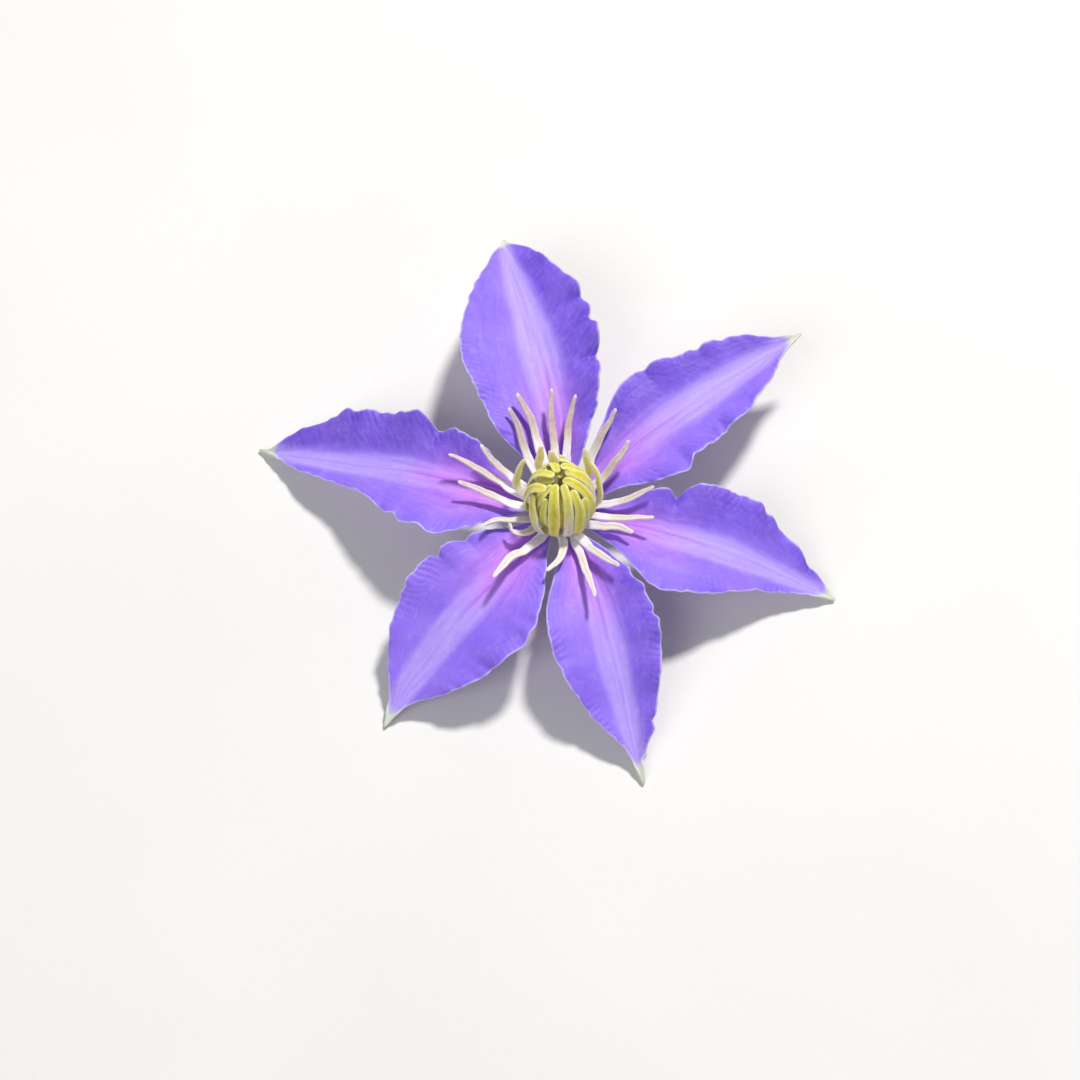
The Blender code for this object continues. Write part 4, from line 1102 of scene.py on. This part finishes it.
def floor_material():
    n = Nodes("pale_floor", 0.8, Specular_IOR_Level=0.2)
    where = n.position()
    cloud = n.noise(where, 14.0, 3.0, 0.5)
    fleck = n.noise(where, 900.0, 3.0, 0.6)
    colour = n.mix(n.ramp(cloud, 0.3, 0.7), (0.80, 0.79, 0.775), (0.83, 0.82, 0.81))
    colour = n.mix(n.ramp(fleck, 0.55, 0.75, 0.0, 0.25), colour, (0.74, 0.735, 0.72))
    n.bumps(((fleck, 0.15, 0.05),))
    return n.finish(colour, n.ramp(fleck, 0.3, 0.7, 0.74, 0.86))


# ---------------------------------------------------------------------------
# Build
# ---------------------------------------------------------------------------
skin, stalk_skin, style_skin = tepal_material(), stalk_material(), style_material()
strap_skin = stamen_material("stamen_skin", (1.0, 0.85, 0.85), 0.30, 0.0008)
raised_skin = stamen_material("raised_skin", (1.0, 0.95, 0.5), 0.85, 0.0016)
boss_skin = stamen_material("boss_skin", (1.0, 0.9, 0.2), 0.50, 0.0012)


def place(piece, node):
    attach(piece, "root")
    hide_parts(node)


for name, tepal in TEPALS.items():
    tepal.update(LOOKS[name])
    if tepal["rests"]:
        lay_down(tepal)
    place(tepal_piece(name, tepal, skin), name)

FINE_SPREADING_SHAPE = SPREADING_SHAPE[:-2] + ((0.80, 0.66), (0.93, 0.46), (1, 0.16))
for i, row in enumerate(OUTER):
    node = f"spreading_stamen_{i + 1:02d}"
    fuller = 1.03 + 0.08 * math.sin(1.7 * i)
    # own grows towards the back of the flower, where the material darkens the anthers: partly their own tan, partly
    # painted shade
    piece = strap_piece(node, outer_path(*row), strap_skin, FINE_SPREADING_SHAPE, OUTER_WIDTH * fuller, 0.54 + 0.05 * math.sin(2.3 * i), 300 + i, own=0.5 + 0.42 * math.sin(math.radians(row[1])) + 0.08 * math.sin(5.1 * i))
    place(piece, node)

for i, (turned, *row) in enumerate(RAISED):
    node = f"raised_stamen_{i + 1}"
    piece = strap_piece(node, raised_path(*row), raised_skin, RAISED_SHAPE, RAISED_WIDTH * 1.03, 0.50, 400 + i, boss=0.50, turned=turned, own=0.04 + 0.03 * i)
    place(piece, node)

for ring, (profile, rows) in BOSS.items():
    if ring.endswith("b"):
        profile = (*profile, (0.35, 17.3))  # the inner tips curl on to the middle
    for i, (*row, width) in enumerate(rows):
        node = f"{ring}_{i + 1:02d}"
        seed = (500 if ring.endswith("a") else 600) + i
        # the pale filament shows at the foot of the front straps, more on every other one
        yellow_from = 0.5 + 0.16 * math.cos(3.1 * i) if ring.endswith("a") and row[0] < 30 else -0.3
        piece = strap_piece(node, boss_path(profile, *row), boss_skin, BOSS_SHAPE, width * (1.15 if ring.endswith("a") else 1.12), yellow_from, seed, boss=1.0, heart=BOSS_HEART)
        place(piece, node)

place(stalk_piece(stalk_skin), "pedicel_and_receptacle")
place(pistil_piece(style_skin), "carpels_and_styles")

# ---------------------------------------------------------------------------
# Floor, light and camera
# ---------------------------------------------------------------------------
scene = bpy.context.scene
floor_mesh = bpy.data.meshes.new("floor")
ring = [(3 * math.cos(a), 3 * math.sin(a), 0.0) for a in np.linspace(0, 2 * math.pi, 96, endpoint=False)]
floor_mesh.from_pydata(ring, [], [tuple(range(96))])
floor_mesh.materials.append(floor_material())
floor = bpy.data.objects.new("floor", floor_mesh)
scene.collection.objects.link(floor)
floor.location.z = -0.00002

world = bpy.data.worlds.new("studio")
scene.world = world
world.use_nodes = True
world.node_tree.nodes["Background"].inputs["Color"].default_value = (0.93, 0.96, 1.0, 1)
world.node_tree.nodes["Background"].inputs["Strength"].default_value = 0.24


def softbox(name, azimuth, elevation, distance, size, power, colour):
    light = bpy.data.lights.new(name, "AREA")
    light.shape = "DISK"
    light.size = size
    light.energy = power
    light.color = colour
    o = bpy.data.objects.new(name, light)
    a, e = math.radians(azimuth), math.radians(elevation)
    aim = np.array([0.0, 0.0, 0.008])
    at = aim + distance * np.array([math.cos(e) * math.cos(a), math.cos(e) * math.sin(a), math.sin(e)])
    o.location = at
    from mathutils import Vector
    o.rotation_euler = Vector(aim - at).to_track_quat("-Z", "Y").to_euler()
    scene.collection.objects.link(o)


softbox("key", 58, 57, 1.0, 0.16, 9.6, (1.0, 0.985, 0.955))
softbox("fill", 236, 42, 1.1, 0.7, 3.8, (0.97, 0.98, 1.0))

camera_data = bpy.data.cameras.new("camera")
camera_data.sensor_width = 36.0
camera_data.lens = 135.59
camera_data.clip_start = 0.01
camera_data.clip_end = 20.0
camera = bpy.data.objects.new("camera", camera_data)
scene.collection.objects.link(camera)
elevation = math.radians(58.0)
back = np.array([0.0, -math.cos(elevation), math.sin(elevation)])
up = np.array([0.0, math.sin(elevation), math.cos(elevation)])
right = np.array([1.0, 0.0, 0.0])
scale = 0.1475
target = np.array([0.0, 0.0, 9.0]) - (560.0 - 540.0) * scale * right + (507.0 - 540.0) * scale * up
eye = target + 600.0 * back
camera.location = (eye - ORIGIN) * MM
camera.rotation_euler = (math.radians(90.0 - 58.0), 0.0, 0.0)
scene.camera = camera
scene.view_settings.view_transform = "Standard"
